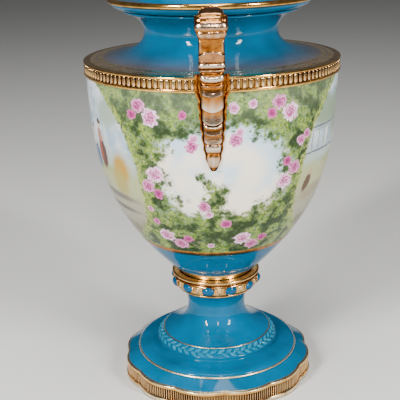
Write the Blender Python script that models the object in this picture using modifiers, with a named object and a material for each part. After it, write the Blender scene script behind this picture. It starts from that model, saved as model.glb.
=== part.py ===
"""A porcelain mantel urn on a turned pedestal, with two scroll handles.

It stands on the origin, +Z up, with its handles on the -Y and +Y sides. Sizes are in
metres. Outlines are lists of (radius, height) points that run down the outer side.
"""

import math

import bmesh
import bpy
from mathutils import Matrix, Vector

OBJECT_NAME = "mantel_urn"

# How round the turned pieces are, and the gap between pieces that touch
TURN_STEPS = 28
GAP = 0.0003

# Plinth: a lobed slab with a reeded edge, hollow beneath
PLINTH_BORDER = 0.0128
LOBES = 12
LOBE_DEPTH = 0.0026
LOBE_TURN = math.radians(3.2)
STEPS_PER_LOBE = 5
FOOT_LIP_HEIGHT = 0.0038
FOOT_LIP_OUT = 0.0008
FOOT_LIP_EDGE = 0.0008
REED_BAND_HEIGHT = 0.0102
REED_BAND_SINK = 0.0016
REEDS_PER_LOBE = 7
REED_INSET = 0.0005
REED_DEPTH = 0.0008
REED_OVERRUN = 0.0010
PLINTH_RIM_HEIGHT = 0.0024
PLINTH_RIM_EDGE = 0.0006
PLINTH_RISE = 0.0068
PEDESTAL_WALL = 0.0070

# Mouldings that step out from the stem to the plinth
WREATH_INNER_RADIUS = 0.0478
INNER_BEAD = 0.0006
WREATH_WIDTH = 0.0055
WREATH_HEIGHT = 0.0066
LEAVES = 28
LEAF_LENGTH = 0.0078
LEAF_WIDTH = 0.0043
LEAF_RELIEF = 0.0009
LEAF_SINK = 0.0002
LEAF_LEAN = math.radians(38)
STEP_HEIGHT = 0.0033
COVE_OUT = 0.0010
COVE_HEIGHT = 0.0014
COVE_WIDTH = 0.0072
OVOLO_WIDTH = 0.0097
OVOLO_HEIGHT = 0.0048
OUTER_BEAD = 0.0007
MOULDING_SINK = 0.0028

# Stem and collar
STEM_RADIUS = 0.0253
STEM_FLARE_HEIGHT = 0.0242
STEM_NECK_HEIGHT = 0.0166
COLLAR_FOOT_RADIUS = 0.0343
COLLAR_HEIGHT = 0.0166
COLLAR_RIM_WIDTH = 0.0062
COLLAR_BEAD = 0.0010
JEWEL_BAND_IN = 0.0011
JEWEL_BAND_RISE = 0.0078
SEAT_DEPTH = 0.0042
JEWELS = 12
JEWEL_TURN = math.radians(-10.3)
JEWEL_WIDTH = 0.0118
JEWEL_HEIGHT = 0.0082
JEWEL_RELIEF = 0.0018
BOSS_SIZE = 0.0030
BOSS_RELIEF = 0.0010

# Vessel: foot, bowl, ribbed band, shoulder, neck and lip
WALL = 0.0055
FOOT_INSET = 0.0058
FOOT_HEIGHT = 0.0099
FOOT_BEAD = 0.0013
BOWL_FOOT_RADIUS = 0.0380
BOWL_TOP_RADIUS = 0.1035
BOWL_DEPTH = 0.1706
BAND_OUT = 0.0015
BAND_HEIGHT = 0.0112
BAND_EDGE = 0.0005
UPPER_FILLET = 0.0018
LOWER_FILLET = 0.0024
BAND_SINK = 0.0020
BAND_RIBS = 96
RIB_INSET = 0.0008
RIB_DEPTH = 0.0008
SHOULDER_EDGE_IN = 0.0034
NECK_RADIUS = 0.0547
SHOULDER_RISE = 0.0204
NECK_RISE = 0.0163
NECK_FLARE = 0.0152
NECK_BEAD_HEIGHT = 0.0026
LIP_REACH = 0.0137
FLARE_RISE = 0.0054
LIP_THICKNESS = 0.0043
LIP_ROLL = 0.0013
LIP_WIDTH = 0.0176
MOUTH_DIP = 0.0012

# Bends of the long curves, as shares of the length that each curve spans
BOWL_SIDE_HOLD = 0.36
BOWL_SIDE_LEAN = 0.037
BOWL_BELLY_HOLD = 0.373
BOWL_BELLY_OUT = 0.985
SHOULDER_NECK_HOLD = 0.56
SHOULDER_EDGE_HOLD = 0.69
SHOULDER_EDGE_LIFT = 0.165
NECK_HOLD = 0.58
NECK_FLARE_HOLD = 0.52
NECK_FLARE_DROP = 0.16
THROAT_HOLD = 0.55
THROAT_FLARE_HOLD = 0.35
STEM_HOLD = 0.62
STEM_FLARE_HOLD = 0.45
STEM_FLARE_DROP = 0.20

# Handle: its middle line leaves the neck, passes under the lip, turns over and runs down
HANDLE_WIDTH = 0.0195
HANDLE_THICKNESS = 0.0095
HANDLE_ROOT_RISE = 0.0096
HANDLE_ROOT_SINK = 0.0030
HANDLE_LIP_SPACE = 0.0179
HANDLE_ARCH_DROP = 0.0058
HANDLE_KNUCKLE_OUT = 0.0101
HANDLE_KNUCKLE_DROP = 0.0166
HANDLE_SHAFT_OUT = 0.0038
HANDLE_SHAFT_UP = 0.0205
HANDLE_BAND_OUT = 0.0012
TAIL_LENGTH = 0.0580
TAIL_SINK = 0.0010
HANDLE_EDGE = 0.0027

# Along the handle, as shares of its length: its taper in width and in thickness
HANDLE_TAPER = (
    (0.00, 0.72, 0.95),
    (0.13, 0.74, 0.95),
    (0.24, 0.88, 1.10),
    (0.32, 1.04, 1.28),
    (0.40, 1.10, 1.30),
    (0.43, 0.98, 1.12),
    (0.50, 0.92, 0.98),
    (0.58, 0.96, 1.00),
    (0.72, 0.94, 0.92),
    (0.86, 0.80, 0.74),
    (0.93, 0.68, 0.60),
    (1.00, 0.22, 0.36),
)

# Carved rings, each from one share of the length to another, with how far it stands out
HANDLE_RINGS = (
    (0.335, 0.354, 0.0009),
    (0.362, 0.388, 0.0011),
    (0.391, 0.410, 0.0007),
    (0.492, 0.526, 0.0010),
    (0.530, 0.556, 0.0012),
    (0.573, 0.604, 0.0013),
    (0.622, 0.660, 0.0010),
    (0.664, 0.720, 0.0012),
    (0.726, 0.780, 0.0012),
    (0.787, 0.870, 0.0012),
    (0.877, 0.920, 0.0011),
    (0.926, 0.985, 0.0008),
)

# The handle's way from its root to its arch, and over to the knuckle, in shares of each span
HANDLE_CLIMB = ((0.30, 0.06), (0.62, 0.42), (1.00, 1.00))
HANDLE_TURN_OUT = 0.75
HANDLE_TURN_RISE = 0.0029
TAIL_SPANS = 4

# Radii that follow from the sizes above
FOOT_RADIUS = BOWL_FOOT_RADIUS - FOOT_INSET
SEAT_RADIUS = FOOT_RADIUS + GAP
BAND_RADIUS = BOWL_TOP_RADIUS + BAND_OUT
SHOULDER_RADIUS = BAND_RADIUS - SHOULDER_EDGE_IN
NECK_TOP_RADIUS = NECK_RADIUS + NECK_FLARE
LIP_RADIUS = NECK_TOP_RADIUS + LIP_REACH
MOUTH_RADIUS = LIP_RADIUS - LIP_WIDTH
COLLAR_RIM_RADIUS = SEAT_RADIUS + COLLAR_RIM_WIDTH
COLLAR_RADIUS = COLLAR_RIM_RADIUS - JEWEL_BAND_IN
WREATH_OUTER_RADIUS = WREATH_INNER_RADIUS + WREATH_WIDTH
COVE_TOP_RADIUS = WREATH_OUTER_RADIUS + COVE_OUT
OVOLO_TOP_RADIUS = COVE_TOP_RADIUS + COVE_WIDTH
OUTER_LINE_RADIUS = OVOLO_TOP_RADIUS + OVOLO_WIDTH
PLINTH_RADIUS = OUTER_LINE_RADIUS + PLINTH_BORDER

# Heights above the floor, worked out from the sizes above
REEDS_TOP_Z = FOOT_LIP_HEIGHT + REED_BAND_HEIGHT
PLINTH_RIM_Z = REEDS_TOP_Z + PLINTH_RIM_HEIGHT
OUTER_LINE_Z = PLINTH_RIM_Z + PLINTH_RISE
OVOLO_Z = OUTER_LINE_Z + OVOLO_HEIGHT
COVE_Z = OVOLO_Z + COVE_HEIGHT
WREATH_LOW_Z = COVE_Z + STEP_HEIGHT
WREATH_TOP_Z = WREATH_LOW_Z + WREATH_HEIGHT
STEM_Z = WREATH_TOP_Z + STEM_FLARE_HEIGHT
COLLAR_LOW_Z = STEM_Z + STEM_NECK_HEIGHT
JEWEL_Z = COLLAR_LOW_Z + JEWEL_BAND_RISE
COLLAR_TOP_Z = COLLAR_LOW_Z + COLLAR_HEIGHT
SEAT_Z = COLLAR_TOP_Z - SEAT_DEPTH
FOOT_Z = SEAT_Z + GAP
BOWL_LOW_Z = FOOT_Z + FOOT_HEIGHT
BAND_LOW_Z = BOWL_LOW_Z + BOWL_DEPTH
BAND_TOP_Z = BAND_LOW_Z + BAND_HEIGHT
NECK_Z = BAND_TOP_Z + SHOULDER_RISE
NECK_BEAD_Z = NECK_Z + NECK_RISE
FLARE_LOW_Z = NECK_BEAD_Z + NECK_BEAD_HEIGHT
LIP_LOW_Z = FLARE_LOW_Z + FLARE_RISE
LIP_TOP_Z = LIP_LOW_Z + LIP_THICKNESS

# The front is -Y; the plinth's first notch and the collar's first jewel are turned from it
FRONT = -math.pi / 2
PLINTH_START = FRONT + LOBE_TURN
JEWEL_START = FRONT + JEWEL_TURN


def clear_scene():
    for obj in list(bpy.data.objects):
        bpy.data.objects.remove(obj, do_unlink=True)


def make_collection(name):
    collection = bpy.data.collections.new(name)
    bpy.context.scene.collection.children.link(collection)
    return collection


def make_material(name, colour, roughness, metallic=0.0, coat=0.0):
    material = bpy.data.materials.new(name)
    material.use_nodes = True
    shader = material.node_tree.nodes["Principled BSDF"]
    shader.inputs["Base Color"].default_value = (*colour, 1.0)
    shader.inputs["Roughness"].default_value = roughness
    shader.inputs["Metallic"].default_value = metallic
    shader.inputs["Coat Weight"].default_value = coat
    material.diffuse_color = (*colour, 1.0)
    return material


def mesh_of(name, shape):
    """A mesh from a bmesh of closed shells, its faces pointing out."""
    bmesh.ops.recalc_face_normals(shape, faces=shape.faces)
    mesh = bpy.data.meshes.new(name)
    shape.to_mesh(mesh)
    shape.free()
    return mesh


def add_object(name, mesh, collection, material=None):
    obj = bpy.data.objects.new(name, mesh)
    collection.objects.link(obj)
    if material is None:
        obj.hide_render = True
        obj.display_type = "WIRE"
    else:
        mesh.materials.append(material)
    return obj


def bezier(start, pull_start, pull_end, end, steps):
    """Points of a cubic curve after its start, up to and with its end."""
    points = []
    for step in range(1, steps + 1):
        t = step / steps
        s = 1.0 - t
        weighted = zip((s**3, 3 * s * s * t, 3 * s * t * t, t**3), (start, pull_start, pull_end, end))
        point = sum((weight * Vector(corner) for weight, corner in weighted), Vector((0.0, 0.0)))
        points.append(tuple(point))
    return points


def bead(low, high, out, steps=2):
    """Points of a half-round moulding between two points, running down, ends left out."""
    points = []
    for step in range(1, steps + 1):
        angle = math.pi * step / (steps + 1)
        share = (1.0 - math.cos(angle)) / 2.0
        radius = high[0] + (low[0] - high[0]) * share + out * math.sin(angle)
        points.append((radius, high[1] + (low[1] - high[1]) * share))
    return points


def quarter(start, end, steps, upright_first):
    """Points of a quarter of an ellipse after its start, up to and with its end."""
    points = []
    for step in range(1, steps + 1):
        angle = math.pi / 2 * step / steps
        far, near = math.sin(angle), 1.0 - math.cos(angle)
        share_r, share_z = (near, far) if upright_first else (far, near)
        radius = start[0] + (end[0] - start[0]) * share_r
        points.append((radius, start[1] + (end[1] - start[1]) * share_z))
    return points


def offset(points, distance):
    """The outline moved by a distance along its normals, away from the axis where positive."""
    moved = []
    for index, (radius, height) in enumerate(points):
        before = points[max(index - 1, 0)]
        after = points[min(index + 1, len(points) - 1)]
        along = Vector((after[0] - before[0], after[1] - before[1])).normalized()
        moved.append((radius - along.y * distance, height + along.x * distance))
    return moved


def turned(name, outline, collection, material=None, steps=TURN_STEPS):
    """An outline turned once about +Z by a Screw modifier."""
    mesh = bpy.data.meshes.new(name)
    edges = [(index, index + 1) for index in range(len(outline) - 1)]
    mesh.from_pydata([(radius, 0.0, height) for radius, height in outline], edges, [])
    obj = add_object(name, mesh, collection, material)
    screw = obj.modifiers.new("turn", "SCREW")
    screw.axis = "Z"
    screw.angle = 2 * math.pi
    screw.steps = steps
    screw.render_steps = steps
    screw.use_merge_vertices = True
    screw.merge_threshold = 0.00001
    screw.use_smooth_shade = True
    return obj


def lofted(name, rings, collection, material=None, closed=False):
    """A skin over rings of equally many points, capped at both ends or joined round."""
    shape = bmesh.new()
    rows = [[shape.verts.new(point) for point in ring] for ring in rings]
    pairs = list(zip(rows, rows[1:] + rows[:1])) if closed else list(zip(rows, rows[1:]))
    for upper, lower in pairs:
        for index in range(len(upper)):
            beside = (index + 1) % len(upper)
            shape.faces.new((upper[index], lower[index], lower[beside], upper[beside]))
    if not closed:
        shape.faces.new(rows[0])
        shape.faces.new(list(reversed(rows[-1])))
    mesh = mesh_of(name, shape)
    mesh.shade_smooth()
    mesh.set_sharp_from_angle(angle=math.radians(35))
    return add_object(name, mesh, collection, material)


def combine(obj, other, operation):
    """A Boolean modifier, with the EXACT solver."""
    boolean = obj.modifiers.new(f"{operation.lower()}_{other.name}", "BOOLEAN")
    boolean.operation = operation
    boolean.solver = "EXACT"
    boolean.object = other


def ring_points(radii, height, start=0.0):
    """Points round the axis at one height, one for each radius, from a start angle on."""
    points = []
    for index, radius in enumerate(radii):
        angle = start + 2 * math.pi * index / len(radii)
        points.append((radius * math.cos(angle), radius * math.sin(angle), height))
    return points


def bowl_curve(steps):
    """The bowl's side from under the band down to its foot, start left out."""
    width = BOWL_TOP_RADIUS - BOWL_FOOT_RADIUS
    return bezier(
        (BOWL_TOP_RADIUS, BAND_LOW_Z),
        (BOWL_TOP_RADIUS - width * BOWL_SIDE_LEAN, BAND_LOW_Z - BOWL_DEPTH * BOWL_SIDE_HOLD),
        (BOWL_FOOT_RADIUS + width * BOWL_BELLY_OUT, BOWL_LOW_Z + BOWL_DEPTH * BOWL_BELLY_HOLD),
        (BOWL_FOOT_RADIUS, BOWL_LOW_Z),
        steps,
    )


def shoulder_curve(steps):
    """The shoulder from the narrowest part of the neck out to its edge, start left out."""
    reach = SHOULDER_RADIUS - NECK_RADIUS
    crown_z = BAND_TOP_Z + SHOULDER_RISE * SHOULDER_EDGE_LIFT
    return bezier(
        (NECK_RADIUS, NECK_Z),
        (NECK_RADIUS, NECK_Z - SHOULDER_RISE * SHOULDER_NECK_HOLD),
        (SHOULDER_RADIUS - reach * SHOULDER_EDGE_HOLD, crown_z),
        (SHOULDER_RADIUS, BAND_TOP_Z),
        steps,
    )


def neck_curve(steps):
    """The neck from under the bead down to its narrowest part, start left out."""
    pull_radius = NECK_TOP_RADIUS - NECK_FLARE * NECK_FLARE_HOLD
    return bezier(
        (NECK_TOP_RADIUS, NECK_BEAD_Z),
        (pull_radius, NECK_BEAD_Z - NECK_RISE * NECK_FLARE_DROP),
        (NECK_RADIUS, NECK_Z + NECK_RISE * NECK_HOLD),
        (NECK_RADIUS, NECK_Z),
        steps,
    )


def lip_outline():
    """The rolled lip, the flare under it and the bead, from the top down to the neck."""
    flare_start = (LIP_RADIUS - LIP_ROLL, LIP_LOW_Z)
    flare_end = (NECK_TOP_RADIUS, FLARE_LOW_Z)
    neck_top = (NECK_TOP_RADIUS, NECK_BEAD_Z)
    points = [(LIP_RADIUS - LIP_ROLL, LIP_TOP_Z), (LIP_RADIUS, LIP_TOP_Z - LIP_ROLL)]
    points += [(LIP_RADIUS, LIP_LOW_Z + LIP_ROLL), flare_start]
    points += quarter(flare_start, flare_end, 2, upright_first=True)
    return points + bead(neck_top, flare_end, NECK_BEAD_HEIGHT / 2) + [neck_top]


def band_outline(sink):
    """The two fillets of the band, with the field between them sunk by a given depth."""
    field = BAND_RADIUS - sink
    upper_z = BAND_TOP_Z - UPPER_FILLET
    lower_z = BAND_LOW_Z + LOWER_FILLET
    points = [(BAND_RADIUS - BAND_EDGE, BAND_TOP_Z), (BAND_RADIUS, BAND_TOP_Z - BAND_EDGE)]
    points += [(BAND_RADIUS, upper_z)]
    if sink > 0.0:
        points += [(field, upper_z), (field, lower_z)]
    points += [(BAND_RADIUS, lower_z), (BAND_RADIUS, BAND_LOW_Z + BAND_EDGE)]
    return points + [(BAND_RADIUS - BAND_EDGE, BAND_LOW_Z), (BOWL_TOP_RADIUS, BAND_LOW_Z)]


def foot_outline():
    """The bead under the bowl and the foot that stands in the collar."""
    crest = FOOT_RADIUS + FOOT_BEAD
    return [
        (crest, BOWL_LOW_Z),
        (crest, BOWL_LOW_Z - FOOT_BEAD),
        (FOOT_RADIUS, BOWL_LOW_Z - 2 * FOOT_BEAD),
        (FOOT_RADIUS, FOOT_Z),
    ]


def body_outside(sink, bowl_steps=8):
    """The vessel's whole outer side, from the top of its lip to the foot's underside."""
    points = lip_outline() + neck_curve(3) + shoulder_curve(4)
    return points + band_outline(sink) + bowl_curve(bowl_steps) + foot_outline()


def body_inside():
    """The hollow's side from the floor of the bowl up to the mouth, a wall in from outside."""
    bowl = offset([(BOWL_TOP_RADIUS, BAND_LOW_Z)] + bowl_curve(5), -WALL)
    widest = max(radius for radius, _ in bowl)
    ceiling = BAND_TOP_Z - WALL
    shoulder = offset([(NECK_RADIUS, NECK_Z)] + shoulder_curve(3), -WALL)
    shoulder = [point for point in shoulder if point[0] < widest - WALL / 2]
    throat_radius, throat_z = shoulder[0]
    mouth_z = LIP_TOP_Z - MOUTH_DIP
    throat_top = (MOUTH_RADIUS, mouth_z)
    throat = bezier(
        throat_top,
        (throat_radius + (MOUTH_RADIUS - throat_radius) * THROAT_FLARE_HOLD, mouth_z - MOUTH_DIP),
        (throat_radius, throat_z + (mouth_z - throat_z) * THROAT_HOLD),
        (throat_radius, throat_z),
        3,
    )
    corner = [(widest - WALL / 2, ceiling), (widest, ceiling - WALL / 2)]
    down = [throat_top] + throat + shoulder[1:] + corner + bowl[1:]
    return [(0.0, bowl[-1][1])] + list(reversed(down))


def make_band_ribs(helpers):
    """The upright ribs of the band, as one ring sunk into the wall and the fillets."""
    top = BAND_TOP_Z - UPPER_FILLET / 2
    low = BAND_LOW_Z + LOWER_FILLET / 2
    crest = BAND_RADIUS - RIB_INSET
    count = 2 * BAND_RIBS
    ribbed = [crest - RIB_DEPTH * (index % 2) for index in range(count)]
    buried = [BAND_RADIUS - BAND_SINK - WALL / 3] * count
    rings = [ring_points(ribbed, top), ring_points(ribbed, low)]
    rings += [ring_points(buried, low), ring_points(buried, top)]
    return lofted("band_ribs", rings, helpers, closed=True)


def make_body(collection, helpers, material):
    outline = body_inside() + body_outside(BAND_SINK) + [(0.0, FOOT_Z)]
    body = turned("urn_body", outline, collection, material)
    combine(body, make_band_ribs(helpers), "UNION")
    return body


def plinth_radii(out, count):
    """Radii round the scalloped edge: round lobes that meet at inward points."""
    radii = []
    for index in range(count):
        share = (index * LOBES / count) % 1.0
        radii.append(PLINTH_RADIUS + out - LOBE_DEPTH * (1.0 - math.sin(math.pi * share)))
    return radii


def plinth_ring(out, height):
    """One ring of the plinth's edge; it starts on a point between two lobes."""
    return ring_points(plinth_radii(out, LOBES * STEPS_PER_LOBE), height, PLINTH_START)


def make_slab(helpers):
    """The lobed slab, from the floor up to the line where the turned mouldings start."""
    slope = PLINTH_RISE / PLINTH_BORDER
    top_radius = OUTER_LINE_RADIUS - 2 * OUTER_BEAD
    top_z = PLINTH_RIM_Z + slope * (PLINTH_RADIUS - top_radius)
    rings = [
        ring_points([top_radius] * LOBES * STEPS_PER_LOBE, top_z, PLINTH_START),
        plinth_ring(-PLINTH_RIM_EDGE, PLINTH_RIM_Z),
        plinth_ring(0.0, PLINTH_RIM_Z - PLINTH_RIM_EDGE),
        plinth_ring(0.0, REEDS_TOP_Z),
        plinth_ring(-REED_BAND_SINK, REEDS_TOP_Z),
        plinth_ring(-REED_BAND_SINK, FOOT_LIP_HEIGHT),
        plinth_ring(FOOT_LIP_OUT, FOOT_LIP_HEIGHT - FOOT_LIP_EDGE),
        plinth_ring(0.0, 0.0),
    ]
    return lofted("plinth_slab", rings, helpers)


def make_reeds(helpers):
    """The reeds round the plinth's edge, as one ring sunk into the slab."""
    top = REEDS_TOP_Z + REED_OVERRUN
    low = FOOT_LIP_HEIGHT - REED_OVERRUN
    count = 2 * LOBES * REEDS_PER_LOBE
    edge = plinth_radii(-REED_INSET, count)
    reeded = [radius - REED_DEPTH * ((index + 1) % 2) for index, radius in enumerate(edge)]
    buried = plinth_radii(-REED_BAND_SINK - PEDESTAL_WALL / 3, count)
    rings = [ring_points(reeded, top, PLINTH_START), ring_points(reeded, low, PLINTH_START)]
    rings += [ring_points(buried, low, PLINTH_START), ring_points(buried, top, PLINTH_START)]
    return lofted("plinth_reeds", rings, helpers, closed=True)


def collar_outline():
    """The seat, the rim, the jewelled band and the bead under it."""
    rim = COLLAR_BEAD
    bead_radius = COLLAR_FOOT_RADIUS - rim
    band_radius = COLLAR_RADIUS - rim
    return [
        (0.0, SEAT_Z),
        (SEAT_RADIUS, SEAT_Z),
        (SEAT_RADIUS + rim / 2, COLLAR_TOP_Z - rim / 2),
        (COLLAR_RIM_RADIUS - rim, COLLAR_TOP_Z),
        (COLLAR_RIM_RADIUS, COLLAR_TOP_Z - rim),
        (COLLAR_RIM_RADIUS - rim / 2, COLLAR_TOP_Z - 2 * rim),
        (band_radius, JEWEL_Z + JEWEL_HEIGHT / 2),
        (COLLAR_RADIUS, JEWEL_Z),
        (band_radius, JEWEL_Z - JEWEL_HEIGHT / 2),
        (bead_radius, COLLAR_LOW_Z + 2 * rim),
        (COLLAR_FOOT_RADIUS, COLLAR_LOW_Z + 1.5 * rim),
        (COLLAR_FOOT_RADIUS, COLLAR_LOW_Z + 0.5 * rim),
        (bead_radius, COLLAR_LOW_Z),
    ]


def stem_outline():
    """The waisted stem from under the collar down to the line above the wreath."""
    top_radius = COLLAR_FOOT_RADIUS - COLLAR_BEAD
    top_pull = top_radius - (top_radius - STEM_RADIUS) * STEM_FLARE_HOLD
    upper = bezier(
        (top_radius, COLLAR_LOW_Z),
        (top_pull, COLLAR_LOW_Z - STEM_NECK_HEIGHT * STEM_FLARE_DROP),
        (STEM_RADIUS, STEM_Z + STEM_NECK_HEIGHT * STEM_HOLD),
        (STEM_RADIUS, STEM_Z),
        3,
    )
    low_radius = WREATH_INNER_RADIUS - INNER_BEAD
    low_pull = low_radius - (low_radius - STEM_RADIUS) * STEM_FLARE_HOLD
    lower = bezier(
        (STEM_RADIUS, STEM_Z),
        (STEM_RADIUS, STEM_Z - STEM_FLARE_HEIGHT * STEM_HOLD),
        (low_pull, WREATH_TOP_Z + STEM_FLARE_HEIGHT * STEM_FLARE_DROP),
        (low_radius, WREATH_TOP_Z + INNER_BEAD),
        5,
    )
    return upper + lower


def base_outline():
    """The line above the wreath, the wreath's slope, the step, the cove and the ovolo."""
    start = (WREATH_INNER_RADIUS, WREATH_TOP_Z)
    cove_start = (COVE_TOP_RADIUS, COVE_Z)
    ovolo_start = (OVOLO_TOP_RADIUS, OVOLO_Z)
    bead_top = (OUTER_LINE_RADIUS - OUTER_BEAD, OUTER_LINE_Z + 2 * OUTER_BEAD)
    points = [(WREATH_INNER_RADIUS, WREATH_TOP_Z + INNER_BEAD), start]
    points += [(WREATH_OUTER_RADIUS, WREATH_LOW_Z), (WREATH_OUTER_RADIUS, COVE_Z + COVE_HEIGHT / 2)]
    points += [cove_start, ovolo_start]
    points += quarter(ovolo_start, bead_top, 3, upright_first=False)
    points += [(OUTER_LINE_RADIUS, OUTER_LINE_Z + OUTER_BEAD)]
    points += [(OUTER_LINE_RADIUS, OUTER_LINE_Z - MOULDING_SINK), (0.0, OUTER_LINE_Z - MOULDING_SINK)]
    return points


def make_jewels(helpers):
    """The oval cabochons of the collar with a small boss between each two, as one mesh."""
    shape = bmesh.new()
    for index in range(JEWELS):
        for share, sides, width, height, relief in (
            (0.0, 8, JEWEL_WIDTH, JEWEL_HEIGHT, JEWEL_RELIEF),
            (0.5, 4, BOSS_SIZE, BOSS_SIZE, BOSS_RELIEF),
        ):
            angle = JEWEL_START + 2 * math.pi * (index + share) / JEWELS
            made = bmesh.ops.create_uvsphere(shape, u_segments=sides, v_segments=4, radius=0.5)
            for vertex in made["verts"]:
                out = COLLAR_RADIUS + vertex.co.z * 2 * relief
                across, up = vertex.co.x * width, vertex.co.y * height
                vertex.co = (
                    out * math.cos(angle) - across * math.sin(angle),
                    out * math.sin(angle) + across * math.cos(angle),
                    JEWEL_Z + up,
                )
    return add_object("jewels", mesh_of("jewels", shape), helpers)


def make_leaves(helpers):
    """The wreath of low pointed leaves on the sloping band, as one mesh."""
    fall = Vector((WREATH_WIDTH, 0.0, -WREATH_HEIGHT)).normalized()
    normal = Vector((-fall.z, 0.0, fall.x))
    middle_radius = WREATH_INNER_RADIUS + WREATH_WIDTH / 2
    centre = Vector((middle_radius, 0.0, WREATH_LOW_Z + WREATH_HEIGHT / 2)) - normal * LEAF_SINK
    along = Vector((0.0, math.cos(LEAF_LEAN), 0.0)) + fall * math.sin(LEAF_LEAN)
    across = normal.cross(along)
    half_length, half_width = along * LEAF_LENGTH / 2, across * LEAF_WIDTH / 2
    shape = bmesh.new()
    for index in range(LEAVES):
        turn = Matrix.Rotation(2 * math.pi * index / LEAVES, 3, "Z")
        lean = Matrix.Scale(1.0 if index % 2 else -1.0, 3, (0.0, 1.0, 0.0))
        rim = [centre + lean @ tip for tip in (half_length, half_width, -half_length, -half_width)]
        top, under = centre + normal * LEAF_RELIEF, centre - normal * LEAF_RELIEF
        corners = [shape.verts.new(turn @ point) for point in (*rim, top, under)]
        for low in range(4):
            beside = (low + 1) % 4
            shape.faces.new((corners[low], corners[beside], corners[4]))
            shape.faces.new((corners[beside], corners[low], corners[5]))
    return add_object("wreath_leaves", mesh_of("wreath_leaves", shape), helpers)


def make_hollow(helpers):
    """The hollow under the pedestal, which runs up into the stem a wall in from outside."""
    wall = PEDESTAL_WALL
    stem = (STEM_RADIUS - wall, STEM_Z)
    edge_radius = PLINTH_RADIUS - LOBE_DEPTH - wall
    flare_low = (WREATH_INNER_RADIUS - wall, WREATH_TOP_Z - wall)
    points = [(0.0, STEM_Z), stem]
    points += quarter(stem, flare_low, 3, upright_first=True)
    points += [(WREATH_OUTER_RADIUS, OVOLO_Z - wall), (OUTER_LINE_RADIUS - wall / 2, OUTER_LINE_Z - wall)]
    points += [(edge_radius, PLINTH_RIM_Z - wall), (edge_radius, -wall), (0.0, -wall)]
    return turned("hollow", points, helpers)


def make_pedestal(collection, helpers, material):
    outline = collar_outline() + stem_outline() + base_outline()
    pedestal = turned("pedestal", outline, collection, material)
    combine(pedestal, make_slab(helpers), "UNION")
    combine(pedestal, make_reeds(helpers), "UNION")
    combine(pedestal, make_leaves(helpers), "UNION")
    combine(pedestal, make_jewels(helpers), "UNION")
    combine(pedestal, make_hollow(helpers), "DIFFERENCE")
    return pedestal


def radius_of(outline, height):
    """The outermost radius of an outline at one height."""
    found = 0.0
    for (r0, z0), (r1, z1) in zip(outline, outline[1:]):
        if min(z0, z1) <= height <= max(z0, z1) and z0 != z1:
            found = max(found, r0 + (r1 - r0) * (height - z0) / (z1 - z0))
    return found


def smooth_line(points, per_span):
    """A smooth line through the points, as vectors."""
    line = []
    padded = [Vector(point) for point in [points[0]] + points + [points[-1]]]
    for p, q, r, s in zip(padded, padded[1:], padded[2:], padded[3:]):
        for step in range(per_span):
            t = step / per_span
            cubic = (3 * q - p - 3 * r + s) * t**3
            line.append(0.5 * (2 * q + (r - p) * t + (2 * p - 5 * q + 4 * r - s) * t * t + cubic))
    return line + [padded[-1]]


def handle_line():
    """The handle's middle line in (radius, height): out of the neck, over and down the bowl."""
    root_z = NECK_Z + HANDLE_ROOT_RISE
    root_radius = radius_of(neck_curve(8), root_z)
    arch_radius = LIP_RADIUS + HANDLE_LIP_SPACE
    arch_z = LIP_TOP_Z - HANDLE_ARCH_DROP
    knuckle_z = LIP_TOP_Z - HANDLE_KNUCKLE_DROP
    points = [(root_radius - HANDLE_ROOT_SINK, root_z)]
    for share_out, share_up in HANDLE_CLIMB:
        radius = root_radius + (arch_radius - root_radius) * share_out
        points.append((radius, root_z + (arch_z - root_z) * share_up))
    turn_radius = BAND_RADIUS + HANDLE_KNUCKLE_OUT * HANDLE_TURN_OUT
    points.append((turn_radius, (arch_z + knuckle_z) / 2 + HANDLE_TURN_RISE))
    points.append((BAND_RADIUS + HANDLE_KNUCKLE_OUT, knuckle_z))
    points.append((BAND_RADIUS + HANDLE_SHAFT_OUT, BAND_TOP_Z + HANDLE_SHAFT_UP))
    points.append((BAND_RADIUS + HANDLE_BAND_OUT, BAND_LOW_Z))
    outline = body_outside(0.0, bowl_steps=24)
    for span in range(1, TAIL_SPANS + 1):
        share = span / TAIL_SPANS
        height = BAND_LOW_Z - TAIL_LENGTH * share
        points.append((radius_of(outline, height) + TAIL_SINK * (1.0 - share), height))
    return smooth_line(points, 8)


def handle_marks():
    """Shares of the handle's length that get a section, each with how far a ring lifts it."""
    marks = {share: 0.0 for share, _, _ in HANDLE_TAPER}
    for start, end, height in HANDLE_RINGS:
        marks = {share: lift for share, lift in marks.items() if not start <= share <= end}
        marks.update({start: 0.0, (start + end) / 2: height, end: 0.0})
    return sorted(marks.items())


def taper_at(share):
    """The handle's width and thickness at a share of its length, without the rings."""
    for (low, wide, thick), (high, next_wide, next_thick) in zip(HANDLE_TAPER, HANDLE_TAPER[1:]):
        if share <= high:
            part = (share - low) / (high - low)
            break
    width = wide + (next_wide - wide) * part
    thickness = thick + (next_thick - thick) * part
    return width * HANDLE_WIDTH, thickness * HANDLE_THICKNESS


def handle_section(width, thickness):
    """Corners of a section, across and outward: a rectangle with its edges cut off."""
    edge = HANDLE_EDGE * thickness / HANDLE_THICKNESS
    side, face = width / 2, thickness / 2
    quarter_turn = [(side, face - edge), (side - edge, face)]
    half_turn = quarter_turn + [(-across, out) for across, out in reversed(quarter_turn)]
    return half_turn + [(-across, -out) for across, out in half_turn]


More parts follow.
